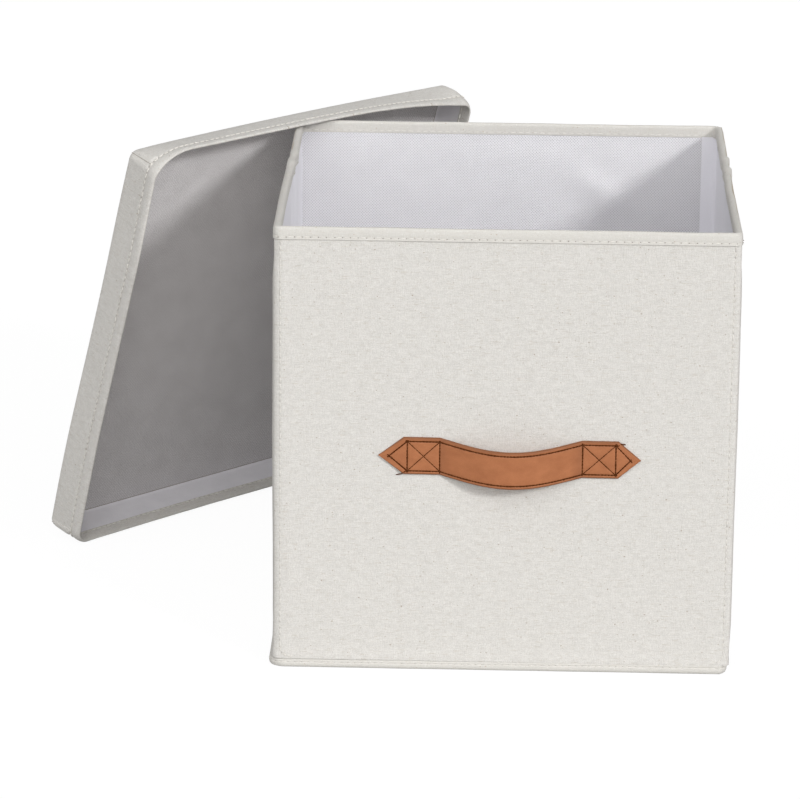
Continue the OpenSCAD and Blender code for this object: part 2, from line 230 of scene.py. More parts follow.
# %% Canvas and tape
def woven_material(name, base, shade, slub, speck, slub_share, thread):
    """Plain weave: its two yarn colours, slubs, specks, and a thread's pitch in mm."""
    material, tree = start_material(name)
    threads = cloth_map(tree, (1000 / thread, 1000 / thread, 1))
    waves = [add_node(tree, "ShaderNodeTexWave", {"bands_direction": way}, Vector=threads,
                      Scale=0.157, Distortion=9.0, Detail=2.0, Detail_Scale=0.35).outputs[1]
             for way in ("X", "Y")]
    weave = maths(tree, "MULTIPLY", *waves)
    cloudy = cloth_noise(tree, 110, 230, 3.0, 0.7)
    yarn = cloth_noise(tree, 190, 900, 2.0, 0.6)
    warp = cloth_noise(tree, 900, 260, 2.0, 0.6)
    tone = maths(tree, "ADD", maths(tree, "ADD", yarn, warp), cloudy)
    grain = cloth_noise(tree, 1250, 1400, 1.0, 0.6)
    grainy = maths(tree, "ADD", tone, maths(tree, "MULTIPLY", grain, 1.8))
    colour = blend_colours(tree, ramp(tree, grainy, 1.95, 2.85), shade, base)
    for length, share in ((120, slub_share), (260, 0.8 * slub_share)):
        streak = cloth_noise(tree, length, 820, 1.0, 0.4)
        colour = blend_colours(tree, ramp(tree, streak, 0.62, 0.74, 0, share), colour, slub)
    nep = cloth_noise(tree, 700, 620, 0.0, 0.5)
    pale = ramp(tree, nep, 0.70, 0.80, 0, 0.35)
    colour = blend_colours(tree, pale, colour, (0.86, 0.85, 0.82, 1))
    dots = cloth_noise(tree, 520, 640, 0.0, 0.5)
    colour = blend_colours(tree, ramp(tree, dots, 0.80, 0.84, 0, 0.6), colour, speck)
    height = weighted(tree, weave, 0.25, tone, 0.6)
    return finish_material(material, tree, colour, height, 0.00022, Roughness=0.92,
                           Sheen_Weight=0.08, Specular_IOR_Level=0.2)


canvas = woven_material("natural canvas", (0.748, 0.728, 0.694, 1), (0.608, 0.588, 0.553, 1),
                        (0.52, 0.465, 0.385, 1), (0.30, 0.21, 0.13, 1), 0.34, 0.62)
tape = woven_material("cream tape", (0.715, 0.695, 0.655, 1), (0.650, 0.628, 0.585, 1),
                      (0.64, 0.59, 0.515, 1), (0.45, 0.33, 0.22, 1), 0.25, 0.5)
print("woven finishes:", canvas.name, "and", tape.name)

# %% [markdown]
# ### Non-woven lining
# The lining is pressed from fibres and embossed with a fine grid of dots set on the
# diagonal. The product of two sine waves, one along each way of the cloth, is high at just
# such a grid. The side walls and the lid's flange have a smoother kind, which shows the
# fibres alone, and the lid's face has a greyer one with faint dots. The flange's kind is
# also painted lighter than the face's, for the light from above that falls on the flange.


# %% Linings
def pressed_material(name, base, shade, dots, patches=0.35, pitch=2.17):
    """Pressed fibres: two colours, how deep the dots are, how much of the shade comes in
    large patches, and the dots' pitch in mm."""
    material, tree = start_material(name)
    place = cloth_map(tree, (2000 * math.pi / pitch, 1920 * math.pi / pitch, 1))
    split = add_node(tree, "ShaderNodeSeparateXYZ", Vector=place)
    first = maths(tree, "SINE", split.outputs[0])
    second = maths(tree, "SINE", split.outputs[1])
    dot = ramp(tree, maths(tree, "MULTIPLY", first, second), 0.05, 0.7, 0, dots)
    fibre = cloth_noise(tree, 900, 900, 4.0, 0.75)
    cloud = cloth_noise(tree, 45, 45, 3.0, 0.6)
    tone = weighted(tree, fibre, 1 - patches, cloud, patches)
    colour = blend_colours(tree, ramp(tree, tone, 0.35, 0.68), shade, base)
    colour = blend_colours(tree, dot, colour, tuple(c * 0.66 for c in shade[:3]) + (1,))
    height = maths(tree, "SUBTRACT", fibre, dot)
    return finish_material(material, tree, colour, height, 0.00015, Roughness=0.85,
                           Sheen_Weight=0.1, Specular_IOR_Level=0.25)


dotted_lining = pressed_material("embossed lining", (0.83, 0.82, 0.845, 1),
                                 (0.745, 0.735, 0.76, 1), 0.78)
smooth_lining = pressed_material("smooth lining", (0.90, 0.89, 0.93, 1),
                                 (0.85, 0.84, 0.88, 1), 0.0)
face_lining = pressed_material("lid face lining", (0.90, 0.877, 0.89, 1),
                               (0.48, 0.461, 0.464, 1), 0.4, 0.14)
# Painted light: the flange's lining is smoother and also lighter than the face's, as the flange
# faces up to the light.
flange_lining_painted_lighter = pressed_material("lid flange lining, painted lighter", (0.92, 0.905, 0.94, 1),
                                 (0.82, 0.805, 0.845, 1), 0.0, 0.5)
linings = (dotted_lining, smooth_lining, face_lining, flange_lining_painted_lighter)
print("linings:", [finish.name for finish in linings])

# %% [markdown]
# ### Leather, board and thread
# The strap is dyed a warm cognac and its cut edges are burnished darker. The map runs
# along the strap and across it, so the distance from an edge is known on the whole piece.


# %% Leather, board and thread
def leather_material():
    """Grained leather, darker on its burnished cut edges, and with shade painted where the loop
    bends off the squares.
    """
    material, tree = start_material("cognac leather")
    place = cloth_map(tree, (1, 1, 1))
    split = add_node(tree, "ShaderNodeSeparateXYZ", Vector=place)
    grain = add_node(tree, "ShaderNodeTexVoronoi", {"feature": "DISTANCE_TO_EDGE"},
                     Vector=cloth_map(tree, (1150, 1150, 1)), Scale=1.0).outputs[0]
    cloud = cloth_noise(tree, 70, 110, 4.0, 0.6)
    fine = cloth_noise(tree, 1700, 1700, 3.0, 0.7)
    tone = weighted(tree, cloud, 0.6, fine, 0.4)
    colour = blend_colours(tree, ramp(tree, tone, 0.3, 0.7), (0.335, 0.116, 0.043, 1),
                           (0.485, 0.184, 0.075, 1))
    edge = ramp(tree, maths(tree, "ABSOLUTE", split.outputs[1]), 0.0119, 0.0133, 0, 0.8)
    colour = blend_colours(tree, edge, colour, (0.22, 0.085, 0.035, 1))
    # Painted shade: the loop is darkened where it bends off the sewn squares.
    along = maths(tree, "ABSOLUTE", split.outputs[0])
    bent = maths(tree, "MULTIPLY", ramp(tree, along, 0.041, 0.0485, 0, 0.4),
                 ramp(tree, along, 0.0495, 0.0505, 1, 0))
    colour = blend_colours(tree, bent, colour, (0.24, 0.085, 0.035, 1))
    pores = ramp(tree, grain, 0.0, 0.18, 0.0, 1.0)
    height = weighted(tree, pores, 0.4, fine, 0.6)
    return finish_material(material, tree, colour, height, 0.0001, Roughness=0.58,
                           Specular_IOR_Level=0.35)


def fibre_material(name, light, dark, scale, rough, gloss=0.5):
    """Board, thread and painted needle-hole shade: fibres seen in the piece's own space."""
    material, tree = start_material(name)
    place = add_node(tree, "ShaderNodeTexCoord").outputs["Object"]
    fibre = noise(tree, place, scale, 4.0, 0.7)
    colour = blend_colours(tree, ramp(tree, fibre, 0.35, 0.65), dark, light)
    return finish_material(material, tree, colour, fibre, 0.0001, Roughness=rough,
                           Specular_IOR_Level=gloss)


leather = leather_material()
greyboard = fibre_material("grey board", (0.55, 0.47, 0.36, 1), (0.42, 0.36, 0.28, 1), 700, 0.9)
cream_thread = fibre_material("cream thread", (0.82, 0.80, 0.755, 1),
                              (0.72, 0.695, 0.645, 1), 2600, 0.9, 0.15)
brown_thread = fibre_material("brown thread", (0.125, 0.038, 0.010, 1),
                              (0.070, 0.020, 0.006, 1), 2600, 1.0, 0.05)
# Painted shade: the dark dots where the needle went through, and the rows along the lid's mitres
# and lining crease, have this colour.
needle_hole_shade = fibre_material("painted needle-hole shade", (0.40, 0.365, 0.32, 1),
                             (0.27, 0.235, 0.20, 1), 900, 1.0, 0.0)
print("other finishes:", [m.name for m in (leather, greyboard, cream_thread, brown_thread)])

# %% [markdown]
# ## Making cloth from rows of points
# Every piece of cloth is a grid: rows of points along one way and columns along the other.
# The helper gives the grid a back at a fixed thickness and closes its edges, so that the
# piece is a real closed shell, and it lays the cloth's map in metres along the threads.


# %% Grid to mesh
def grid_normals(grid):
    """Unit normals of a grid of points, pointing to the side from which it was laid."""
    normal = np.cross(np.gradient(grid, axis=1), np.gradient(grid, axis=0))
    return normal / np.maximum(np.linalg.norm(normal, axis=2, keepdims=True), 1e-9)


def travelled(grid, axis):
    """How far each row (axis 0) or column (axis 1) is from the first, along the cloth."""
    steps = np.linalg.norm(np.diff(grid, axis=axis), axis=2).mean(1 - axis)
    return np.concatenate([[0], np.cumsum(steps)])


def cloth_piece(name, grid, material, thickness):
    """A closed shell of cloth. grid[row, column] is in millimetres, rows going up and
    columns going right as seen from outside."""
    rows, columns = grid.shape[:2]
    back = grid - grid_normals(grid) * thickness
    points = np.concatenate([grid.reshape(-1, 3), back.reshape(-1, 3)]) * MM
    right, height = travelled(grid, 1), travelled(grid, 0)
    threads = np.stack(np.broadcast_arrays(right[None, :], height[:, None]), -1) * MM
    index = np.arange(rows * columns).reshape(rows, columns)
    to_back = rows * columns
    front = np.stack([index[:-1, :-1], index[:-1, 1:], index[1:, 1:], index[1:, :-1]], -1)
    front = front.reshape(-1, 4)
    faces = [front, front[:, ::-1] + to_back]
    borders = ((index[0], True), (index[-1], False), (index[:, 0], False), (index[:, -1], True))
    for edge, flip in borders:
        a, b = edge[:-1], edge[1:]
        side = np.stack([a, b, b + to_back, a + to_back], -1)
        faces.append(side[:, ::-1] if flip else side)
    return build_mesh(name, points, np.concatenate(faces).tolist(), material,
                      np.concatenate([threads.reshape(-1, 2)] * 2))


# %% Points and faces to a piece
def build_mesh(name, points, faces, material, threads):
    """A smooth mesh with its map of threads, one place on the map for each point. A closed
    shell holds a positive volume when its faces point outwards, so they turn if it doesn't."""
    points = np.asarray(points)
    corners = np.array([f[:3] for f in faces] + [(f[0], f[k], f[k + 1]) for f in faces
                                                 for k in range(2, len(f) - 1)])
    a, b, c = (points[corners[:, k]] for k in range(3))
    if np.einsum("ij,ij->", a, np.cross(b, c)) < 0:
        faces = [f[::-1] for f in faces]
    mesh = bpy.data.meshes.new(name)
    mesh.from_pydata(points.tolist(), [], faces)
    layer = mesh.uv_layers.new(name="threads")
    loop_points = np.zeros(len(mesh.loops), np.int32)
    mesh.loops.foreach_get("vertex_index", loop_points)
    layer.data.foreach_set("uv", np.asarray(threads)[loop_points].astype(np.float32).ravel())
    mesh.materials.append(material)
    mesh.shade_smooth()
    mesh.set_sharp_from_angle(angle=math.radians(65))
    piece = bpy.data.objects.new(name, mesh)
    bpy.context.collection.objects.link(piece)
    return piece


# %% Strip to mesh
def swept_piece(name, sections, material, threads=None, closed=False):
    """A strip: sections[station, point] is a closed ring of points at each station. Its two
    ends are capped, or a closed strip goes on from its last station to its first."""
    stations, ring = sections.shape[:2]
    index = np.arange(stations * ring).reshape(stations, ring)
    here, following = (index, np.roll(index, -1, 0)) if closed else (index[:-1], index[1:])
    faces = np.stack([here, following, np.roll(following, -1, 1), np.roll(here, -1, 1)], -1)
    faces = faces.reshape(-1, 4).tolist()
    if not closed:
        faces += [index[0].tolist(), index[-1, ::-1].tolist()]
    if threads is None:
        along, around = travelled(sections, 0), travelled(sections, 1)
        threads = np.stack(np.broadcast_arrays(along[:, None], around[None, :]), -1)
    threads = np.asarray(threads, float).reshape(-1, 2) * MM
    return build_mesh(name, sections.reshape(-1, 3) * MM, faces, material, threads)


# %% [markdown]
# ## Lengths of wall
# Seen from above, the cloth runs once round the cube. It is laid in eight lengths: front,
# three on each side, and rear. Each length knows its points, which way is outwards, the
# bodies it joins and where it bends. The right side is the left side mirrored.


# %% Lengths of wall
def corner_path(half, radius, side_y):
    """Points and outward normals along the front wall and round both its corners. It
    starts on the left wall at depth side_y and ends on the right wall."""
    leg = side_y + half - radius
    left = [(-half, side_y, -1, 0)] if leg > 0 else []
    turn = [(-half + radius - radius * math.cos(a), -half + radius - radius * math.sin(a),
             -math.cos(a), -math.sin(a))
            for a in np.linspace(math.asin(max(-leg, 0) / radius), math.pi / 2, 7)]
    near = [-half + radius + d for d in (1, 2, 3.5, 5)]
    span = list(np.linspace(near[-1], -near[-1], 62))
    flat = [(x, -half, 0, -1) for x in near[:-1] + span + [-x for x in near[:-1]][::-1]]
    half_way = np.array(left + turn + flat)
    right = np.array(left + turn) * (-1, 1, -1, 1)
    return np.concatenate([half_way, right[::-1]])


def side_path(half, start, end, dense=()):
    """Points and outward normals along the left wall from one depth to another, laid from
    rear to front so that the cloth's columns go right as seen from outside."""
    ys = set(np.round(np.linspace(start, end, max(int(abs(end - start) / 5), 3)), 3))
    for centre in dense:
        ys |= set(np.round(np.arange(-8, 8.1, 1.0) + centre, 3))
    ys = [y for y in sorted(ys, reverse=True) if min(start, end) <= y <= max(start, end)]
    return np.array([(-half, y, -1, 0) for y in ys])


def mirrored(path):
    """The same length on the right wall."""
    return (path * (-1, 1, -1, 1))[::-1]


def turned(path):
    """The same length on the opposite wall."""
    return path * (-1, -1, -1, -1)


# %% [markdown]
# ### Eight lengths and their bodies
# A fold isn't a sharp line: the cloth bends over a few millimetres of depth, which
# FOLD_ENDS gives from its first number to its second, though no piece below reads it. The
# rear right length rides on one body only, because the ring of four walls is open at that corner.

# %% Eight lengths
FOLD_ENDS = {
    "front": (FRONT_FOLD - 1.1, FRONT_FOLD + 1.1),
    "middle": (CREASE - 5, CREASE + 5),
    "rear": (REAR_FOLD - 0.9, REAR_FOLD + 0.6),
}


def wall_lengths(half, radius, rear_radius=None):
    """Every length of wall: name, path, the body or two bodies, and where it bends."""
    rear_end = REAR_FOLD + 0.6
    spans = {"front": (-QUARTER, FRONT_FOLD - 1.5), "middle": (QUARTER, -QUARTER),
             "rear": (rear_end, QUARTER)}
    lengths = [("front", corner_path(half, radius, FRONT_FOLD - 1.5), ("front_wall",), None)]
    for side in ("left", "right"):
        bodies = {"front": ("front_wall", f"{side}_front_half"),
                  "middle": (f"{side}_front_half", f"{side}_rear_half"),
                  "rear": (f"{side}_rear_half", "rear_wall")}
        if side == "right":
            bodies["rear"] = ("right_rear_half",)
        for part, (start, end) in spans.items():
            path = side_path(half, start, end, (FRONT_FOLD, CREASE, *GATHERS, REAR_FOLD))
            if side == "right":
                path = mirrored(path)
            lengths.append((f"{side}_{part}", path, bodies[part], FOLD_ENDS[part]))
    rear = turned(corner_path(half, rear_radius or radius, -rear_end))
    lengths.append(("rear", rear, ("rear_wall",), None))
    return lengths


print("lengths of wall:", [length[0] for length in wall_lengths(SKIN, CANVAS_TURN)])

# %% [markdown]
# ### Attaching a piece
# Each piece says what finish it shows and which solid parts it stands for, which are hidden.
# Then it rides on one body, or, where its fold joins two bodies, stays fixed where it is.

# %% Attach and count
made_pieces = []        # the pieces attached since the last count


def attach(piece, bodies, replaced=()):
    """Hides the parts a piece replaces and makes it ride on its body; a piece that joins two bodies
    stays fixed where it is.
    """
    made_pieces.append(piece)
    if replaced:
        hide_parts(*replaced)
    if len(bodies) == 1:
        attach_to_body(piece, bodies[0])
    else:
        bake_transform(piece)


def tell(step):
    """Prints how many pieces and faces a step has made."""
    faces = sum(len(piece.data.polygons) for piece in made_pieces)
    print(f"{step}: {len(made_pieces)} pieces, {faces} faces")
    made_pieces.clear()


# %% [markdown]
# ## Outer canvas
# The canvas is drawn tight over the boards, but between the seams it stands a little off
# them. The side walls puff out just behind the front corners, where the seam pinches the
# cloth, and the left one flares at its foot. Where the cloth turns a front corner it is
# drawn flat, but never so far in that the board's edge shows.


# %% Outer canvas
def canvas_swell(x, y, z, normal_x):
    """How far the canvas stands off the board, in millimetres."""
    on_side = np.abs(normal_x)
    loose = smooth(z, 8, 40) * (1 - smooth(z, 285, 318))
    from_front = y + HALF
    right = np.where(normal_x > 0, 1.0, 0.0)
    side = (1.8 - 0.7 * right) * smooth(from_front, 4 - 4 * right, 22 - 12 * right)
    side = side * (1 - 0.75 * smooth(from_front, 60, 150))
    side = side * (1 - 0.2 * (1 - right) * (1 - smooth(z, 40, 140)))
    foot = np.where(normal_x < -0.3, 3.0 * (1 - smooth(z, -6, 38)) * smooth(from_front, 0, 9)
                    * (1 - smooth(from_front, 90, 160)), 0)
    lip = 0.55 * (1 - smooth(z, 9, 17))
    seam = 0.55 * (bump(np.abs(x), HALF - CORNER_SEAM, 0.9) * (1 - on_side)
                   + bump(from_front, 6, 1.2) * on_side)
    slope = np.where(normal_x < 0, 0.6, 0.15)
    across = np.sqrt(1 - on_side ** 2)
    flattened = np.maximum(np.maximum(across + slope * on_side, on_side), 0.5)
    flat_strip = CANVAS_TURN / flattened - CANVAS_TURN
    strip = flat_strip * smooth(z, 9, 17)
    tucked = 0.5 * np.where(normal_x > 0, on_side, 0) * smooth(z, 288, 312)
    tucked = tucked * smooth(from_front, 30, 60)
    points = xyz(x, y, z)
    wave = 0.25 * (1 + ripple(points, 110, 3)) * loose + 0.07 * ripple(points, 22, 4)
    out = side * on_side * loose + foot * on_side + lip + wave - seam - tucked
    out = np.maximum(out, -0.42) + strip
    over_board = (SKIN - CANVAS_THICK - np.abs(y)) / np.maximum(across, 0.3)
    return np.where(np.abs(x) < 162, np.maximum(out, over_board), out)


# %% Canvas on every length of wall
def make_canvas():
    replaced = {"front": ("front_cloth", "front_left_corner", "front_right_corner"),
                "rear": ("rear_cloth", "rear_left_corner", "rear_right_corner")}
    for side in ("left", "right"):
        replaced[f"{side}_front"] = (f"{side}_front_cloth",)
        replaced[f"{side}_middle"] = ()
        replaced[f"{side}_rear"] = (f"{side}_rear_cloth",)
    heights = np.concatenate([[7.3, 8.2, 9.5, 12, 15], np.linspace(20, 308, 45),
                              [313, 317, 320, 323, 326, 329]])
    for name, path, bodies, bend in wall_lengths(SKIN, CANVAS_TURN):
        x, y, nx, ny = (path[None, :, k] for k in range(4))
        z = heights[:, None]
        out = canvas_swell(x, y, z, nx)
        grid = xyz(x + nx * out, y + ny * out, z)
        piece = cloth_piece(f"{name}_canvas", grid, canvas, CANVAS_THICK)
        attach(piece, bodies, replaced[name])


make_canvas()
tell("outer canvas")

# %% [markdown]
# ## Lining
# Inside, the lining hangs from the tape. It is a grid laid the other way round, so that
# its face looks into the box. The front and rear linings carry the embossed dots and the
# sides are smoother. A narrow smooth strip covers the right end of the rear lining.


# %% Lining
def lining_swell(x, y, z, normal_y):
    """How far the lining stands into the box, in millimetres."""
    points = xyz(x, y, z)
    loose = smooth(z, 10, 60) * (1 - smooth(z, 300, 322))
    rear = np.clip(normal_y, 0, 1)
    front = np.clip(-normal_y, 0, 1)
    amount = 0.3 + 0.65 * rear - 0.28 * front
    phase = y * 0.55 + 3 * np.sin(y * 0.11) + 0.6 * np.sin(z * 0.03)
    folds = 0.55 * (1 - rear - front) * (1 + np.sin(phase))
    flat = 1 - (rear + front) * smooth(np.abs(x), INNER - 42, INNER - 13)
    swell = amount * (1 + ripple(points * (1, 1, 0.8), 95, 11)) * loose
    return flat * (swell + rear * pucker(x, z)) + folds * loose


def pucker(x, z):
    """The rear lining sags off its seam on the right and stands out below a slanting crease."""
    right = 0.832 * (x - 59) - 0.555 * (z - 294)
    down = -0.555 * (x - 59) - 0.832 * (z - 294)
    ends = smooth(right, -14, 6) * (1 - smooth(right, 28, 50))
    return 3.8 * ends * smooth(down, -3.5, 0.5) * (1 - smooth(down, 1, 28))


# %% Lining on every length of wall
def make_lining():
    heights = np.concatenate([[6.6, 9, 13], np.linspace(18, 308, 40), [314, 319, 324, 329]])
    for name, path, bodies, bend in wall_lengths(INNER, 1.0):
        replaced = {"front": ("front_lining",), "rear": ("rear_lining",)}.get(name, ())
        if not replaced and not name.endswith("middle"):
            replaced = (f"{name}_lining",)
        x, y, nx, ny = (path[None, ::-1, k] for k in range(4))
        z = heights[:, None]
        inwards = lining_swell(x, y, z, ny)
        grid = xyz(x - nx * inwards, y - ny * inwards, z)
        finish = dotted_lining if name in ("front", "rear") else smooth_lining
        piece = cloth_piece(f"{name}_inner_lining", grid, finish, LINING_THICK)
        attach(piece, bodies, replaced)


def make_corner_facing():
    """A narrow smooth strip that covers the right end of the rear lining."""
    heights = np.linspace(8, 321.5, 50)[:, None]
    x = np.concatenate([np.linspace(INNER - 12.5, INNER - 3, 6),
                        np.linspace(INNER - 2.6, INNER - 0.7, 6)])[None, :]
    into_corner = 1.6 * smooth(x, INNER - 3.2, INNER - 0.2) ** 1.5
    y = INNER - 0.55 + 0.08 * np.sin(heights * 0.05 + x) - into_corner
    piece = cloth_piece("rear_right_corner_facing", xyz(x, y, heights), smooth_lining, 0.3)
    attach(piece, ("rear_wall",))


make_lining()
make_corner_facing()
tell("lining")

# %% [markdown]
# ## Binding tape
# A woven tape is folded over the walls' top edge. Its section is a soft U upside down,
# swept along the same lengths of wall. Where the side walls crease, the tape is gathered
# into a small knuckle.


# %% Binding tape
RIM_TURNS = (5.5, 8.0)              # how round the tape turns the front and rear corners
OUTER_DROP, INNER_DROP = 9.4, 9.0   # how far the tape reaches down each face of the wall
TAPE_DEEP = 4.2                     # from the tape's outer face to its inner face


def tape_section():
    """The tape's ring of points: how far in from its outer face, and its height. Its lower
    lips stand out a little below the row of stitches, which pulls the tape in."""
    outer_end, inner_end = TOP - OUTER_DROP, TOP - INNER_DROP
    bend = [(2.0 - 2.05 * math.cos(a), TOP - 2.1 + 2.1 * math.sin(a))
            for a in np.linspace(0, math.pi, 11)]
    outer = [(0.5, outer_end), (0.1, outer_end - 0.05), (-0.3, outer_end + 0.3),
             (-0.3, outer_end + 0.9), (0.14, outer_end + 2.0), (-0.1, outer_end + 3.1),
             (-0.2, outer_end + 4.4), (-0.15, TOP - 3.6)]
    inner = [(3.9, TOP - 3.6), (3.95, inner_end + 3.4), (3.7, inner_end + 1.8),
             (3.87, inner_end + 0.35), (3.7, inner_end), (3.5, inner_end)]
    core = [(3.5, TOP - 1.2), (0.5, TOP - 1.2)]
    return np.array(outer + bend + inner + core)


# Depths along each side wall, and how far outwards the tape strays there.
RIGHT_STRAY = ((-165, -55, -36, -16, 5, 22, 27, 36, 44, 60, 68, 120, 150, 161),
               (0, -0.55, -0.6, -0.6, -0.6, 0.4, 0.5, -0.6, -0.6, 0.4, -0.6, -0.4, -0.3, -0.8))
LEFT_STRAY = ((-165, -129, -64, -9, 30, 38, 47, 57, 113, 150, 161),
              (0, 0.4, 0.8, 0.4, 0.3, 0.5, -0.4, -0.6, -0.2, 0, -0.8))


def tape_shift(x, y, normal_x):
    """How far the tape strays outwards: its gathers behind the crease and a gentle waver."""
    gathers = np.where(normal_x > 0, np.interp(y, *RIGHT_STRAY), np.interp(y, *LEFT_STRAY))
    return np.abs(normal_x) * gathers + 0.15 * ripple(xyz(x, y, 0), 45, 21)


def tape_fullness(y, normal_x):
    """How much thicker the tape is on the side walls, most of all where it is gathered."""
    gathers = 1.4 + 1.2 * bump(y, 26, 7) + 1.1 * bump(y, 60, 5) - 0.6 * bump(y, 44, 5)
    return np.abs(normal_x) * gathers


# %% Tape on every length of wall
def make_tape():
    ring = tape_section()
    for name, path, bodies, bend in wall_lengths(HALF, *RIM_TURNS):
        replaced = () if name.endswith("middle") else (f"{name}_rim_tape",)
        x, y, nx, ny = (path[:, None, k] for k in range(4))
        full = 1 + tape_fullness(y, nx) / TAPE_DEEP
        away = tape_shift(x, y, nx) - ring[None, :, 0] * full
        knuckles = 1.1 * bump(y, 26, 7) + 0.9 * bump(y, 60, 5)
        lift = 0.25 * ripple(xyz(x, y, 0), 38, 22) + np.abs(nx) * knuckles
        high = smooth(ring[None, :, 1], TOP - 6, TOP - 1)
        z = ring[None, :, 1] + lift * high
        sections = xyz(x + nx * away, y + ny * away, z)
        piece = swept_piece(f"{name}_binding", sections, tape)
        attach(piece, bodies, replaced)


make_tape()
tell("binding tape")

# %% [markdown]
# ## Bound bottom seam and cloth under the box
# The same tape binds the seam round the bottom. Its front run stays with the front wall,
# and so do the rest of the seam and the cloth under the box.


# %% Bottom seam
SEAM_TURN = 8.0         # how round the seam turns each corner, seen from above
GROOVE = 4.8            # height of the groove in which its stitches lie


def ring_path(half, radius):
    """Points and outward normals once round the cube."""
    line = np.linspace(-half + radius, half - radius, 48)[:-1]
    quarter = np.linspace(0, math.pi / 2, 8)[:-1]
    one_side = [(x, -half, 0, -1) for x in line]
    one_side += [(half - radius + radius * math.sin(a), -half + radius - radius * math.cos(a),
                  math.sin(a), -math.cos(a)) for a in quarter]
    path, turn = [], np.array(one_side)
    for _ in range(4):
        path.append(turn)
        turn = np.stack([-turn[:, 1], turn[:, 0], -turn[:, 3], turn[:, 2]], 1)
    return np.concatenate(path)


def seam_section():
    """The bound seam's ring of points: how far in, and its height."""
    lower = [(3.0 - 3.0 * math.cos(a), 3.2 - 3.2 * math.sin(a))
             for a in np.linspace(0, math.pi / 2, 8)]
    return np.array([(3.4, 7.3), (1.1, 7.3), (0.8, 6.9), (0.25, 6.4), (0.0, 5.7), (0.1, 5.1),
                     (0.42, GROOVE), (0.08, 4.5), (-0.1, 4.0), *lower, (4.8, 0.0), (4.8, 5.0)])


def seam_flare(x, y, normal_x):
    """How far the seam stands out: it flares at the left foot and wavers a little."""
    foot = np.where(normal_x < -0.3, 3.2 * smooth(y, -166, -156) * (1 - smooth(y, -70, 10)), 0)
    tucked = np.where(normal_x > 0.3, 1.5 * (1 - smooth(y, -140, -60)), 0)
    return (foot - tucked) * np.abs(normal_x) + 0.2 * ripple(xyz(x, y, 0), 50, 31)


def seam_height(x):
    """The seam is a little taller towards the right."""
    return 0.97 + 0.17 * smooth(x, -150, 165)


# %% Seam and cloth under the box
def seam_parts(path):
    """Which points of the ring are the seam's front run, and which are the rest of it."""
    count = len(path) // 4
    return np.arange(-7, count + 1) % len(path), np.arange(count, len(path) - 6) % len(path)


def make_bottom_seam():
    """The seam in two pieces, of which the one behind the front wall is returned."""
    path = ring_path(HALF, SEAM_TURN)
    ring = seam_section()
    x, y, nx, ny = (path[:, None, k] for k in range(4))
    away = seam_flare(x, y, nx) - ring[None, :, 0]
    z = ring[None, :, 1] * seam_height(x)
    sections = xyz(x + nx * away, y + ny * away, z)
    front, rest = seam_parts(path)
    near = swept_piece("front_bottom_seam", sections[front], tape)
    attach(near, ("front_wall",), ("bottom_band_front",))
    far = swept_piece("side_and_rear_bottom_seam", sections[rest], tape)
    attach(far, ("front_wall",),
           ("bottom_band_left", "bottom_band_right", "bottom_band_rear"))
    return far


def make_under_cloth():
    side = np.linspace(-HALF + 4, HALF - 4, 40)
    x, y = np.meshgrid(side, side[::-1])
    z = 0.65 + 0.2 * ripple(xyz(x, y, 0), 70, 32)
    piece = cloth_piece("cloth_under_box", xyz(x, y, z), smooth_lining, -0.4)
    attach(piece, ("front_wall",), ("bottom_cloth",))
    return piece


for soft_piece in (make_bottom_seam(), make_under_cloth()):
    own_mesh(soft_piece)
tell("bottom seam and cloth under the box")

# %% [markdown]
# ## Base insert
# A loose board in a sleeve stiffens the bottom. The sleeve is a slim pillow: its two faces
# meet in rounded edges, and the middle dips a little between them.


# %% Base insert
SLEEVE_HALF = 159.0


def make_base_sleeve():
    """Rings round the board, from the middle below to the middle above."""
    low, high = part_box("base_cover")
    (x0, y0, z0), (x1, y1, z1) = (np.array(c) / MM for c in (low, high))
    thick = z1 - z0
    round_edge = [(thick / 2 * (1 - math.cos(a)), thick / 2 * (1 + math.sin(a)) + z0)
                  for a in np.linspace(-math.pi / 2, math.pi / 2, 9)]
    inset = [2.5, 6, 15, 40, 80, 120, 159]
    levels = [(d, z0) for d in inset[::-1]] + round_edge + [(d, z1) for d in inset]
    rings = []
    for d, z in levels:
        ring = ring_path(SLEEVE_HALF - d, max(4 - d, 0.6))
        ring = np.stack([ring[:, 0] * (x1 - x0) / (2 * SLEEVE_HALF),
                         ring[:, 1] * (y1 - y0) / (2 * SLEEVE_HALF), 0 * ring[:, 0] + z], 1)
        wave = 0.12 * ripple(ring, 60, 41) * smooth(d, 2, 20)
        ring[:, 2] += np.where(z > (z0 + z1) / 2, wave - 0.1, 0)
        rings.append(ring)
    piece = swept_piece("base_sleeve", np.array(rings)[::-1], smooth_lining)
    attach(piece, ("base_insert",), ("base_cover",))


make_base_sleeve()
tell("sleeve of the base board")

# %% [markdown]
# ## Leather handle
# One strap, pointed at both ends, is sewn down in a square at each side. The free middle
# stands out from the box and hangs a little. The strap is a rounded section swept along
# that line; thread pulls the leather in, so the face dips along each row of stitches.

# %% Handle shape
STRAP_WIDE, STRAP_THICK = 27.6, 2.4
LOOP, SQUARE, TIP = 101.0, 26.0, 18.0
STRAP_OUT, STRAP_DROOP, STRAP_TILT = 15.4, 5.2, 0.4
STRAP_AT = (4.8, -SKIN, 162.6)
STRAP_REACH = LOOP / 2 + SQUARE         # from its middle to where a point begins
RIGHT_TIP = TIP - 2                     # the right point is a little shorter
TILT_SPAN = 76                          # the strap drops by STRAP_TILT over this length
SEWN = {-1: (50.7, 73.9, 86.9), 1: (51.0, 74.7, 85.2)}  # inner row, outer row, arrow's apex
SEWN_EDGE = 11.0                        # rows along the edges, from the middle line


def strap_arc(x, power):
    """0 on the sewn squares and 1 in the middle of the loop."""
    share = np.clip(np.asarray(x, float) / LOOP + 0.5, 0, 1)
    return np.sin(math.pi * share) ** power


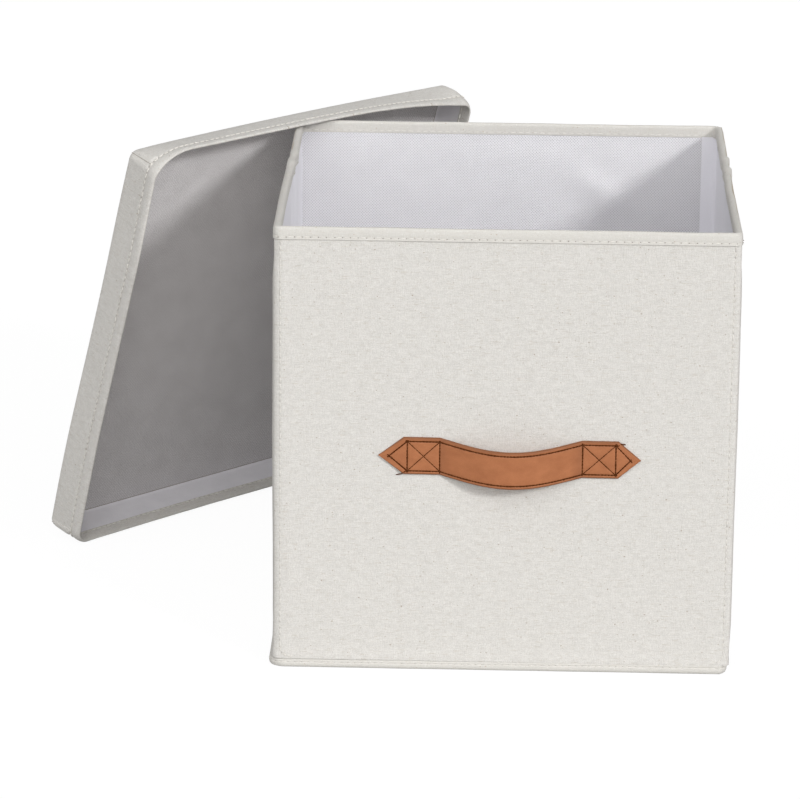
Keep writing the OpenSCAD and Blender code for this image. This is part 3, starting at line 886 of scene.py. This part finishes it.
def strap_point(x, across, out):
    """A point of the strap: along it, across it, and out from its back."""
    x, across, out = (np.asarray(v, float) for v in (x, across, out))
    step = 0.05
    slope = (strap_arc(x + step, 1.3) - strap_arc(x - step, 1.3)) / (2 * step) * STRAP_OUT
    long = np.sqrt(1 + slope * slope)
    px = STRAP_AT[0] + x - out * slope / long
    py = STRAP_AT[1] - STRAP_OUT * strap_arc(x, 1.3) - out / long
    pz = STRAP_AT[2] + across - STRAP_DROOP * strap_arc(x, 0.85) - STRAP_TILT * x / TILT_SPAN
    return xyz(px, py, pz)


# %% Handle outline and relief
def strap_half_width(x):
    tip = np.where(x > 0, RIGHT_TIP, TIP)
    return STRAP_WIDE / 2 * np.clip(1 - (np.abs(x) - STRAP_REACH) / tip, 0.02, 1)


def sewn_dip(x, across):
    """How far the stitches pull the leather's face in."""
    ax = np.abs(x)
    inner, outer, apex = (np.where(x < 0, SEWN[-1][k], SEWN[1][k]) for k in range(3))
    edge = bump(np.abs(across), SEWN_EDGE, 0.8) * (1 - smooth(ax, 73.5, 75))
    rows = bump(ax, inner, 0.9) + bump(ax, outer, 0.9)
    middle = (inner + outer) / 2
    slope = 2 * SEWN_EDGE / (outer - inner)
    in_square = ((ax > inner) & (ax < outer)) * 1.0
    cross = (bump(across - slope * (ax - middle), 0, 1.0)
             + bump(across + slope * (ax - middle), 0, 1.0))
    arrow = bump(np.abs(across) - SEWN_EDGE * (apex - ax) / (apex - outer), 0, 0.9) * (ax > outer)
    inside = (np.abs(across) < SEWN_EDGE + 0.5)
    return 0.28 * np.clip(edge + (rows + cross * in_square) * inside + arrow, 0, 1)


# %% Handle
def make_handle():
    end = STRAP_REACH + TIP
    half = np.concatenate([np.arange(0, 46, 1.5), np.arange(46, STRAP_REACH, 0.6),
                           np.linspace(STRAP_REACH, end, 22)])
    in_tip = half - STRAP_REACH
    shorter = np.where(in_tip > 0, STRAP_REACH + in_tip * RIGHT_TIP / TIP, half)
    xs = np.concatenate([-half[:0:-1], shorter])
    edge = [(-1, 0.5), (-1.0, 1.2), (-0.985, 1.8), (-0.955, 2.2)]
    face = [(c, STRAP_THICK) for c in np.linspace(-0.92, 0.92, 47)]
    under = [(0.97, 0.12), (0.9, 0), (-0.9, 0), (-0.97, 0.12)]
    ring = np.array(edge + face + [(-c, o) for c, o in edge[::-1]] + under)
    wide = strap_half_width(xs)[:, None]
    across = ring[None, :, 0] * wide
    out = ring[None, :, 1] + 0 * wide
    on_face = smooth(out, 2.0, 2.35)
    crown = 0.12 * (1 - (across / np.maximum(wide, 1)) ** 2)
    out = out + on_face * (crown - sewn_dip(xs[:, None], across))
    out = out * (1 - 0.25 * smooth(np.abs(xs), STRAP_REACH + 2, end))[:, None]
    sections = strap_point(xs[:, None], across, out)
    threads = np.stack(np.broadcast_arrays(xs[:, None], ring[None, :, 0] * STRAP_WIDE / 2), -1)
    piece = swept_piece("leather_strap", sections, leather, threads)
    attach(piece, ("front_wall",), ("handle_strap",))


make_handle()
tell("leather handle")

# %% [markdown]
# ## Lid
# The lid is a square tray of thin board between canvas and lining. It stands on its lower
# rim beside the box and leans on the box's corner, which bends its top flange upwards.
# Each layer is laid in the lid's own directions: u along its lower edge, v up its face and
# w out to its rim.

# %% Lid sizes and directions
LID, LID_DEEP = 335.0, 35.5     # each side of its face, and its depth
LID_YAW, LID_LEAN = math.radians(46.1), math.radians(17.3627)
LID_FOOT = np.array((-356.854, 123.41, 10.594))
CORNER_U, CORNER_W, CORNER_RISE = 163.0, 9.1, 4.3   # where and how far the box's corner lifts it
HEM_ROW = 25.6          # where the hem is stitched down, from the lid's outer face
ARC_POINTS, LINE_POINTS = 9, 64         # points of a loop for each corner and straight
MITRE_PINCH = (0.45, 0.75, 1.1, 1.4, -0.45, -0.1, 0.0, 0.05, 0.05)  # the fold at each corner
LID_TURNS = ((5.5, 5.0), (2.6, 4.0), (6.5, 4.0), (6.5, 6.0))    # radii: at the face, and added
LEFT_SPLAY = ((0, 16, 99, 180, 259, 335), (1.5, 3.8, 7.0, 5.5, 4.2, 7.5))   # v, and degrees

lid_out = np.array((math.sin(LID_YAW), -math.cos(LID_YAW), 0))
lid_u = np.array((math.cos(LID_YAW), math.sin(LID_YAW), 0))
lid_v = math.cos(LID_LEAN) * np.array((0, 0, 1.0)) + math.sin(LID_LEAN) * lid_out
lid_w = math.cos(LID_LEAN) * lid_out - math.sin(LID_LEAN) * np.array((0, 0, 1.0))
print("the lid leans", round(math.degrees(LID_LEAN), 1), "degrees from upright")

# %% [markdown]
# ### How the lid bends
# The top flange rises from the face to the box's corner and on past it. The left flange
# splays and bulges at its foot, the bottom flange bows up, and the corners stay stiffer.
# One function moves any point of the flat tray, so all the layers stay stacked.


# %% Bending the lid
def bow_share(u):
    """How far the top flange is pushed up at u, where the middle of the lid has 1."""
    u = np.asarray(u, float)
    return (1 - np.exp(-(u / 14) ** 2)) * (1 - np.exp(-(np.maximum(LID - u, 0) / 60) ** 1.3))


def flange_rise(u, w):
    """How far the top flange is pushed up, at a place along it and a depth."""
    beyond = CORNER_RISE + (w - CORNER_W) * (math.tan(LID_LEAN) + 1 / (LID_DEEP - CORNER_W))
    rise = np.where(w < CORNER_W, CORNER_RISE * w / CORNER_W, beyond)
    share = np.clip(w / LID_DEEP, 0, 1)
    fold = 2.2 * np.sin(math.pi * np.clip(u / LID, 0, 1)) ** 0.8 * (1 - share)
    right_end = 3.6 * np.sin(math.pi * share) * bump(u, LID, 18) - 0.4 * share * bump(u, LID, 9)
    return rise * bow_share(u) / bow_share(CORNER_U) + fold + right_end


def bend_lid(flat):
    """Takes flat tray coordinates to the leaning, bent lid."""
    u, v, w = flat[..., 0], flat[..., 1], flat[..., 2]
    at_top = smooth(v, LID - 9, LID - 1.8)
    share = np.clip(w / LID_DEEP, 0, 1)
    corner = 5.2 * share * np.exp(-(u / 13) ** 2) * smooth(v, LID - 50, LID - 4)
    splay = np.interp(v, *LEFT_SPLAY)
    at_left = 1 - smooth(u, 2, 26)
    pull = (1 - math.cos(LID_LEAN + math.radians(3))) * bow_share(u) ** 2 * np.maximum(w - 1.5, 0)
    belly = 1.4 * bump(v, 120, 90) + 1.7 * bump(v, 60, 70) + 0.9 * bump(v, 290, 55)
    belly = belly * (1 - smooth(u, 2, 8))
    pull_in = 1.3 * share * smooth(u, LID - 6, LID) * smooth(v, LID - 60, LID - 10)
    new_u = u - np.tan(np.radians(splay)) * w * at_left - belly * (1 - share) - pull_in
    lifted = 3.0 * np.sin(math.pi * np.clip(u / LID, 0, 1)) ** 0.55 * share * (1 - smooth(v, 2, 26))
    new_v = v + flange_rise(u, w) * at_top + corner + lifted
    new_w = w - pull * at_top
    return (LID_FOOT + new_u[..., None] * lid_u + new_v[..., None] * lid_v
            + new_w[..., None] * lid_w)


# %% [markdown]
# ### Loops round the tray
# A layer is a stack of loops: from the middle of the face out to its edge, over the fold,
# along the flange to the rim, and back on the inside. Every loop has the same number of
# points, so neighbours join into clean rows of faces.


# %% Loops
def lid_loop(inset, w, step_out=0.0):
    """One loop round the tray: flat coordinates and the outward direction in its plane."""
    open_share = np.clip(w / LID_DEEP, 0, 1) ** 1.5
    radii = [at_face + more * open_share for at_face, more in LID_TURNS]
    limit = LID / 2 - inset
    low, high = inset, LID - inset
    centres = [(low, low), (high, low), (high, high), (low, high)]
    signs = [(1, 1), (-1, 1), (-1, -1), (1, -1)]
    points, ways = [], []
    share = (1 - np.cos(math.pi * np.linspace(0, 1, LINE_POINTS + 2))) / 2
    arcs = []
    for k in range(4):
        radius = min(max(radii[k] - inset * 0.6, 0.5), limit * 0.9)
        cx, cy = (centres[k][a] + signs[k][a] * radius for a in (0, 1))
        first = math.pi + k * math.pi / 2
        angles = first + np.linspace(0, math.pi / 2, ARC_POINTS)
        way = np.stack([np.cos(angles), np.sin(angles)], 1)
        arcs.append((np.array((cx, cy)) + radius * way, way))
    for k in range(4):
        arc, way = arcs[k]
        following = arcs[(k + 1) % 4][0][0]
        line = arc[-1] + (following - arc[-1]) * share[1:-1, None]
        points += [arc, line]
        ways += [way, np.repeat(way[-1:], len(line), 0)]
    flat, way = np.concatenate(points), np.concatenate(ways)
    pinch = np.tile(MITRE_PINCH + (0,) * LINE_POINTS, 4)
    fold = pinch * smooth(w, 1, 6) * (1 - smooth(w, HEM_ROW - 3, HEM_ROW)) * (1 if step_out else 0)
    flat = flat + way * (fold + step_out)[:, None]
    return np.concatenate([flat, np.full((len(flat), 1), float(w))], 1), way


def lid_layer(name, levels, material, waves, seed, closed=False):
    """A layer of the tray from its levels: inset from the outside, depth, and step out."""
    sections, threads = [], []
    for inset, w, step_out in levels:
        flat, way = lid_loop(inset, w, step_out)
        threads.append(flat[:, :2] + way * w)
        ripples = ripple(flat, 80, seed) * waves * smooth(inset, 3, 25)
        flat[:, 2] += ripples
        flat[:, :2] += way * (0.15 * ripple(flat, 40, seed + 1) * smooth(w, 2, 8)
                              * (1 - smooth(inset, 2, 4)))[:, None]
        sections.append(bend_lid(flat))
    return swept_piece(name, np.array(sections), material, np.array(threads), closed)


# %% [markdown]
# ### Canvas, boards and linings of the lid
# The canvas wraps the face, the fold and the flange, and its hem is turned in over the rim.
# The boards lie under it, and the lining is in two parts: a flat one on the face and a
# strip round the flange. Each level below is an inset, a depth and a step out.

# %% Lid canvas
LID_INSETS = (167.3, 150, 130, 110, 90, 72, 56, 42, 30, 20, 12, 7)


def on_face(depth, back=False):
    """Levels across the lid's face at one depth, inwards or back from the middle."""
    return [(inset, depth, 0.0) for inset in (LID_INSETS[::-1] if back else LID_INSETS)]


def make_lid_canvas():
    face = on_face(0.0)
    fold = [(3.2, 0.02, 0), (2.0, 0.12, 0.001), (1.1, 0.5, 0.001), (0.45, 1.1, 0.001),
            (0.1, 2.0, 0.001)]
    flange = [(0, w, 0.05) for w in (4, 7, 10, 13, 16, 19, 22, 23.5)]
    hem = [(0, 24.1, -0.4), (0, 24.6, -0.4), (0, 25.1, 0.1), (0, HEM_ROW, 0.2), (0, 26.3, 0.15),
           (0, 27.2, 0.5), (0, 28.6, 0.75), (0, 30.6, 0.85), (0, 32.4, 0.75), (0, 33.8, 0.45),
           (0, 34.8, 0.05)]
    rim = [(0.5, 35.3, 0), (1.1, 35.45, 0), (1.6, 35.15, 0), (1.85, 34.4, 0)]
    inside = [(1.95, 32.5, 0), (2.1, 29.5, 0), (2.2, 26.7, 0), (2.1, HEM_ROW, 0), (2.25, 25.0, 0),
              (2.1, 24.3, 0), (1.6, 24.3, 0), (1.55, 30, 0), (1.5, 34.0, 0), (0.6, 34.0, 0)]
    back = [(0.6, 22, 0), (0.6, 12, 0), (0.7, 3, 0), (1.2, 1.2, 0), (2.2, 0.7, 0), (3.4, 0.6, 0)]
    levels = face + fold + flange + hem + rim + inside + back + on_face(0.6, back=True)
    shell = lid_layer("lid_canvas", levels, canvas, 0.12, 51)
    attach(shell, ("lid",),
           ("lid_cloth", "lid_top_cloth", "lid_left_hem", "lid_right_hem", "lid_bottom_hem",
            "lid_top_hem"))


make_lid_canvas()


# %% Lid boards
def make_lid_boards():
    fold = [(3.4, 0.75, 0), (2.2, 0.85, 0), (1.35, 1.3, 0), (0.8, 3, 0)]
    outside = [(0.68, w, 0) for w in (8, 16, 24, 33.5)]
    within = [(1.25, w, 0) for w in (33.5, 24, 16, 8)]
    corner = [(1.35, 4, 0), (1.6, 2.3, 0), (2.3, 1.45, 0), (3.6, 1.3, 0)]
    levels = on_face(0.7) + fold + outside + within + corner + on_face(1.3, back=True)
    boards = lid_layer("lid_boards", levels, greyboard, 0.1, 52)
    attach(boards, ("lid",),
           ("lid_board", "lid_left_board", "lid_top_board", "lid_right_board", "lid_bottom_board"))


make_lid_boards()


# %% Lid linings
def make_lid_linings():
    edge = [(5.4, 1.9, 0), (4.7, 1.8, 0), (4.3, 1.6, 0), (4.5, 1.4, 0)]
    levels = on_face(1.9) + edge + on_face(1.4, back=True)
    flat_lining = lid_layer("lid_face_lining", levels, face_lining, 0.3, 53)
    attach(flat_lining, ("lid",), ("lid_lining",))
    turn = [(4.2, 1.45, 0), (3.9, 1.75, 0), (3.3, 2.0, 0), (2.7, 2.4, 0), (2.3, 3.2, 0),
            (1.95, 4.6, 0)]
    wall = [(1.7, w, 0) for w in (8, 12, 16, 20, 24, 27)]
    under = [(1.4, 27, 0), (1.4, 16, 0), (1.45, 6, 0), (1.75, 3.2, 0), (2.3, 2.1, 0), (3.2, 1.5, 0)]
    # The strip round the flange wears the lining that is painted lighter.
    strip = lid_layer("lid_flange_lining", turn + wall + under, flange_lining_painted_lighter, 0.22, 54, True)
    attach(strip, ("lid",), ("lid_top_lining",))


make_lid_linings()
tell("lid")

# %% [markdown]
# ## Stitches
# A row of stitches is the same small thing repeated along a line, which is work for
# Geometry Nodes. The tree spaces points along a line, sets a grain of thread and a dot of
# painted shade where the needle went through on each, turned along the line, and makes the
# result real. The result is then kept as a plain mesh and attached like the cloth it is sewn
# through.

# %% Stitch tree
def stitch_tree(name, thread, hole):
    """Geometry Nodes that sew a line: grains of thread with a dot of painted shade between them,
    where the needle went through.
    """
    tree = bpy.data.node_groups.new(name, "GeometryNodeTree")
    face = tree.interface
    face.new_socket("Line", in_out="INPUT", socket_type="NodeSocketGeometry")
    for label, value in (("Pitch", 0.0055), ("Length", 0.0036), ("Thickness", 0.0006),
                         ("Hole", 0.0005)):
        face.new_socket(label, in_out="INPUT", socket_type="NodeSocketFloat").default_value = value
    face.new_socket("Seed", in_out="INPUT", socket_type="NodeSocketInt").default_value = 5
    face.new_socket("Stitches", in_out="OUTPUT", socket_type="NodeSocketGeometry")
    given = add_node(tree, "NodeGroupInput").outputs

    def combine(x, y, z):
        return add_node(tree, "ShaderNodeCombineXYZ", X=x, Y=y, Z=z).outputs[0]

    row = add_node(tree, "GeometryNodeResampleCurve", {"mode": "LENGTH"}, Curve=given["Line"],
                   Length=given["Pitch"]).outputs[0]
    sphere = add_node(tree, "GeometryNodeMeshUVSphere", Segments=6, Rings=5, Radius=0.5)
    ball, thick = sphere.outputs["Mesh"], given["Thickness"]
    grain = add_node(tree, "GeometryNodeTransform", Geometry=ball,
                     Scale=combine(given["Length"], thick, thick)).outputs[0]
    grain = add_node(tree, "GeometryNodeSetMaterial", Geometry=grain, Material=thread).outputs[0]
    # A dot of painted shade stands where the needle went through.
    dot = add_node(tree, "GeometryNodeTransform", Geometry=ball,
                   Translation=combine(maths(tree, "MULTIPLY", given["Pitch"], 0.5), 0.0, 0.0),
                   Scale=combine(given["Hole"], given["Hole"], given["Hole"])).outputs[0]
    dot = add_node(tree, "GeometryNodeSetMaterial", Geometry=dot, Material=hole).outputs[0]
    both = add_node(tree, "GeometryNodeJoinGeometry")
    tree.links.new(dot, both.inputs[0])
    tree.links.new(grain, both.inputs[0])
    tangent = add_node(tree, "GeometryNodeInputTangent").outputs[0]
    turn = add_node(tree, "FunctionNodeAlignRotationToVector", {"axis": "X"},
                    Vector=tangent).outputs[0]
    size = add_node(tree, "FunctionNodeRandomValue", {"data_type": "FLOAT"}, i2=0.85, i3=1.12,
                    Seed=given["Seed"]).outputs[1]
    placed = add_node(tree, "GeometryNodeInstanceOnPoints", Points=row, Instance=both.outputs[0],
                      Rotation=turn, Scale=combine(size, size, size)).outputs[0]
    real = add_node(tree, "GeometryNodeRealizeInstances", Geometry=placed).outputs[0]
    result = add_node(tree, "NodeGroupOutput")
    tree.links.new(real, result.inputs[0])
    return tree


light_stitches = stitch_tree("rows of cream stitches", cream_thread, needle_hole_shade)
dark_stitches = stitch_tree("rows of brown stitches", brown_thread, brown_thread)
# Painted shade: rows of dark grains that darken the lid's mitre folds and its lining crease.
painted_shade_rows = stitch_tree("rows of painted shade", needle_hole_shade, needle_hole_shade)
print("stitch trees:", [tree.name for tree in (light_stitches, dark_stitches, painted_shade_rows)])


# %% Sewing
def sew(name, rows, tree, **sizes):
    """Sews along rows of points in millimetres, and returns the stitches as one plain mesh."""
    line = bpy.data.curves.new(name, "CURVE")
    line.dimensions = "3D"
    for row in rows:
        spline = line.splines.new("POLY")
        spline.points.add(len(row) - 1)
        points = np.concatenate([np.asarray(row) * MM, np.ones((len(row), 1))], 1)
        spline.points.foreach_set("co", points.astype(np.float32).ravel())
    drawn = bpy.data.objects.new(name + " line", line)
    bpy.context.collection.objects.link(drawn)
    modifier = drawn.modifiers.new("stitches", "NODES")
    modifier.node_group = tree
    for item in tree.interface.items_tree:
        if item.in_out == "INPUT" and item.name in sizes:
            modifier[item.identifier] = sizes[item.name]
    evaluated = drawn.evaluated_get(bpy.context.evaluated_depsgraph_get())
    mesh = bpy.data.meshes.new_from_object(evaluated)
    bpy.data.objects.remove(drawn)
    mesh.name = name
    mesh.shade_smooth()
    piece = bpy.data.objects.new(name, mesh)
    bpy.context.collection.objects.link(piece)
    return piece


# %% [markdown]
# ### Where the rows run
# One row holds the tape to each wall, inside and out. Upright rows close the corners, one
# row runs round the bottom seam, and one round the lid's hem. Dark rows edge the strap and
# cross its squares, and two cut thread ends stick out there. Rows of painted shade darken
# the lid's mitred corners and the crease where its lining turns.

# %% Rows on the walls
def sew_walls():
    for name, path, bodies, bend in wall_lengths(HALF, *RIM_TURNS):
        x, y, nx, ny = (path[:, k] for k in range(4))
        shift = tape_shift(x, y, nx)
        full = 1 + tape_fullness(y, nx) / TAPE_DEEP
        rows = []
        for depth, drop in ((-0.05, 7.4), (-3.65, 7.2)):
            out = shift + depth * full
            rows.append(np.stack([x + nx * out, y + ny * out, 0 * x + TOP - drop], 1))
        piece = sew(f"{name}_tape_stitches", rows, light_stitches, Pitch=0.0056, Length=0.0038,
                    Thickness=0.0006, Hole=0.0008 if name == "front" else 0.0004)
        attach(piece, bodies, ())


def sew_corners():
    turn = np.linspace(math.pi / 2, 0, 9)
    straight = np.linspace(17, 319, 78)
    z = np.concatenate([16.5 - 7.5 * np.sin(turn), straight])
    inset = CORNER_SEAM + np.concatenate([7.5 * (1 - np.cos(turn)), 0 * straight])
    for wall, way in (("front", 1), ("rear", -1)):
        rows = []
        for side in (-1, 1):
            x, y = side * (HALF - inset), np.full_like(z, -SKIN)
            out = canvas_swell(x, y, z, 0 * z) + 0.2
            rows.append(np.stack([x * way, (y - out) * way, z], 1))
        piece = sew(f"{wall}_corner_stitches", rows, light_stitches, Pitch=0.0046, Length=0.0040,
                    Thickness=0.0008, Hole=0.0003)
        attach(piece, (f"{wall}_wall",))


# %% Row round the bottom seam
def sew_bottom():
    path = ring_path(HALF, SEAM_TURN)
    x, y, nx, ny = (path[:, k] for k in range(4))
    out = seam_flare(x, y, nx) - 0.3
    row = np.stack([x + nx * out, y + ny * out, GROOVE * seam_height(x)], 1)
    front_run, rest = seam_parts(path)
    sizes = dict(Pitch=0.0048, Length=0.0040, Thickness=0.00055, Hole=0.0003)
    front = sew("front_bottom_stitches", [row[front_run]], light_stitches, **sizes)
    attach(front, ("front_wall",))
    back = sew("side_and_rear_bottom_stitches", [row[rest]], light_stitches, **sizes)
    attach(back, ("front_wall",))
    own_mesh(back)


# %% Rows on the lid
def sew_lid():
    rows = []
    for inset, w, step_out in ((0, HEM_ROW, 0.4), (2.25, HEM_ROW + 0.3, 0)):
        flat, _ = lid_loop(inset, w, step_out)
        rows.append(bend_lid(np.concatenate([flat, flat[:1]])))
    piece = sew("lid_hem_stitches", rows, light_stitches, Pitch=0.0052, Length=0.0049,
                Thickness=0.0011, Hole=0.0003)
    attach(piece, ("lid",))
    # Painted shade along the folds of the lid's mitred corners.
    seams = []
    for corner in range(4):
        depths = np.linspace(1.5, 24, 24)
        middle = corner * (ARC_POINTS + LINE_POINTS) + ARC_POINTS // 2
        seam = [lid_loop(0, w, 0.06)[0][middle] for w in depths]
        seams.append(bend_lid(np.array(seam)))
    piece = sew("lid_mitre_painted_shade", seams, painted_shade_rows, Pitch=0.0011, Length=0.0017, Thickness=0.0005,
                Hole=0.0003)
    attach(piece, ("lid",))
    # Painted shade along the crease where the lid's lining turns.
    flat, _ = lid_loop(4.25, 1.62)
    crease = bend_lid(np.concatenate([flat, flat[:1]]))
    piece = sew("lid_lining_crease_shade", [crease], painted_shade_rows, Pitch=0.0012, Length=0.0019,
                Thickness=0.0007, Hole=0.0003)
    attach(piece, ("lid",))


# %% Rows on the strap
def sew_strap():
    face = STRAP_THICK + 0.02       # the strap's face, from its back
    rows, crosses = [], []
    for side, (inner, outer, apex) in SEWN.items():
        low, high = -SEWN_EDGE * side, SEWN_EDGE * side
        ends = [((inner, low), (outer, low)), ((inner, high), (outer, high)),
                ((inner, low), (inner, high)), ((outer, low), (outer, high)),
                ((inner, low), (outer, high)), ((inner, high), (outer, low)),
                ((outer, low), (apex, 0)), ((outer, high), (apex, 0))]
        for (x0, c0), (x1, c1) in ends:
            share = np.linspace(0, 1, 14)
            row = strap_point(side * (x0 + (x1 - x0) * share), c0 + (c1 - c0) * share, face - 0.08)
            slants = x0 == inner and x1 == outer and c0 == -c1
            (crosses if slants else rows).append(row)
    xs = np.linspace(-SEWN[-1][0], SEWN[1][0], 90)
    for across in (-SEWN_EDGE, SEWN_EDGE):
        rows.append(strap_point(xs, across, face - 0.08))
    piece = sew("leather_stitches", rows, dark_stitches, Pitch=0.0023, Length=0.0025,
                Thickness=0.0011, Hole=0.0009)
    attach(piece, ("front_wall",))
    piece = sew("leather_cross_stitches", crosses, dark_stitches, Pitch=0.0023, Length=0.0026,
                Thickness=0.0007, Hole=0.0006)
    attach(piece, ("front_wall",))
    ends = (((-75.5, -11.5), (-78, -13.6), (-81.5, -14.4)),
            ((76.5, 11.0), (78.5, 12.2), (81.0, 11.6)))
    loose = [strap_point(*np.array(end).T, (face, 1.6, 0.9)) for end in ends]
    piece = sew("loose_thread_ends", loose, dark_stitches, Pitch=0.0006, Length=0.0011,
                Thickness=0.0009, Hole=0.0004)
    attach(piece, ("front_wall",))


for sew_rows in (sew_walls, sew_corners, sew_bottom, sew_lid, sew_strap):
    sew_rows()
tell("rows of stitches")

# %% [markdown]
# ## Finishes for the solid parts that stay
# The boards inside the walls and the base board keep their solid shapes. They only need
# the look of grey board.

# %% Solid parts
solid_boards = [node for name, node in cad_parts.items() if name.endswith("board")]
for board in solid_boards:
    board.data.materials.clear()
    board.data.materials.append(greyboard)
print("solid boards:", len(solid_boards))

# %% [markdown]
# ## Floor and light
# The background is white: the floor shows itself white to the camera but keeps the faint
# shadow where the box and lid stand. The main light comes from the upper front right and
# is narrow enough to give the slanting shade inside the box and on the lid an edge. Two
# broad lights and an even pale sky fill the shadows.


# %% Floor
def make_floor():
    """White to the camera, and a mid grey to the light that bounces off it."""
    mesh = bpy.data.meshes.new("floor")
    mesh.from_pydata([(-8, -8, 0), (8, -8, 0), (8, 8, 0), (-8, 8, 0)], [], [(0, 1, 2, 3)])
    material, tree = start_material("pale floor")
    matt = add_node(tree, "ShaderNodeBsdfDiffuse", Color=(0.58, 0.58, 0.58, 1)).outputs[0]
    faint = add_node(tree, "ShaderNodeBsdfDiffuse", Color=(0.08, 0.08, 0.08, 1)).outputs[0]
    glow = add_node(tree, "ShaderNodeEmission", Color=(1, 1, 1, 1), Strength=0.95).outputs[0]
    seen = add_node(tree, "ShaderNodeAddShader", i0=faint, i1=glow).outputs[0]
    eye = add_node(tree, "ShaderNodeLightPath").outputs["Is Camera Ray"]
    mixed = add_node(tree, "ShaderNodeMixShader", i0=eye, i1=matt, i2=seen).outputs[0]
    output = add_node(tree, "ShaderNodeOutputMaterial")
    tree.links.new(mixed, output.inputs["Surface"])
    mesh.materials.append(material)
    floor = bpy.data.objects.new("floor", mesh)
    bpy.context.collection.objects.link(floor)


# %% Sky and lamps
def make_sky(strength):
    """An even sky of this strength, which the camera sees as white."""
    world = bpy.data.worlds.new("pale sky")
    world.use_nodes = True
    tree = world.node_tree
    tree.nodes.clear()
    soft = add_node(tree, "ShaderNodeBackground", Color=(1, 1, 1, 1), Strength=strength).outputs[0]
    white = add_node(tree, "ShaderNodeBackground", Color=(1, 1, 1, 1), Strength=1.0).outputs[0]
    eye = add_node(tree, "ShaderNodeLightPath").outputs["Is Camera Ray"]
    mixed = add_node(tree, "ShaderNodeMixShader", i0=eye, i1=soft, i2=white).outputs[0]
    output = add_node(tree, "ShaderNodeOutputWorld")
    tree.links.new(mixed, output.inputs["Surface"])
    bpy.context.scene.world = world


def make_lamp(name, toward, strength, spread):
    """A far lamp, seen in the direction toward, that is spread degrees wide."""
    light = bpy.data.objects.new(name, bpy.data.lights.new(name, "SUN"))
    light.data.energy = strength
    light.data.angle = math.radians(spread)
    light.rotation_euler = Vector(toward).to_track_quat("Z", "Y").to_euler()
    bpy.context.collection.objects.link(light)


make_floor()
make_sky(0.30)
make_lamp("key light", (1.0, -1.15, 0.72), 1.42, 9)
make_lamp("front fill", (0.0, -1.0, 0.6), 1.1, 60)
make_lamp("left fill", (-1.0, -1.0, 0.8), 0.55, 60)
bpy.context.scene.view_settings.view_transform = "Standard"
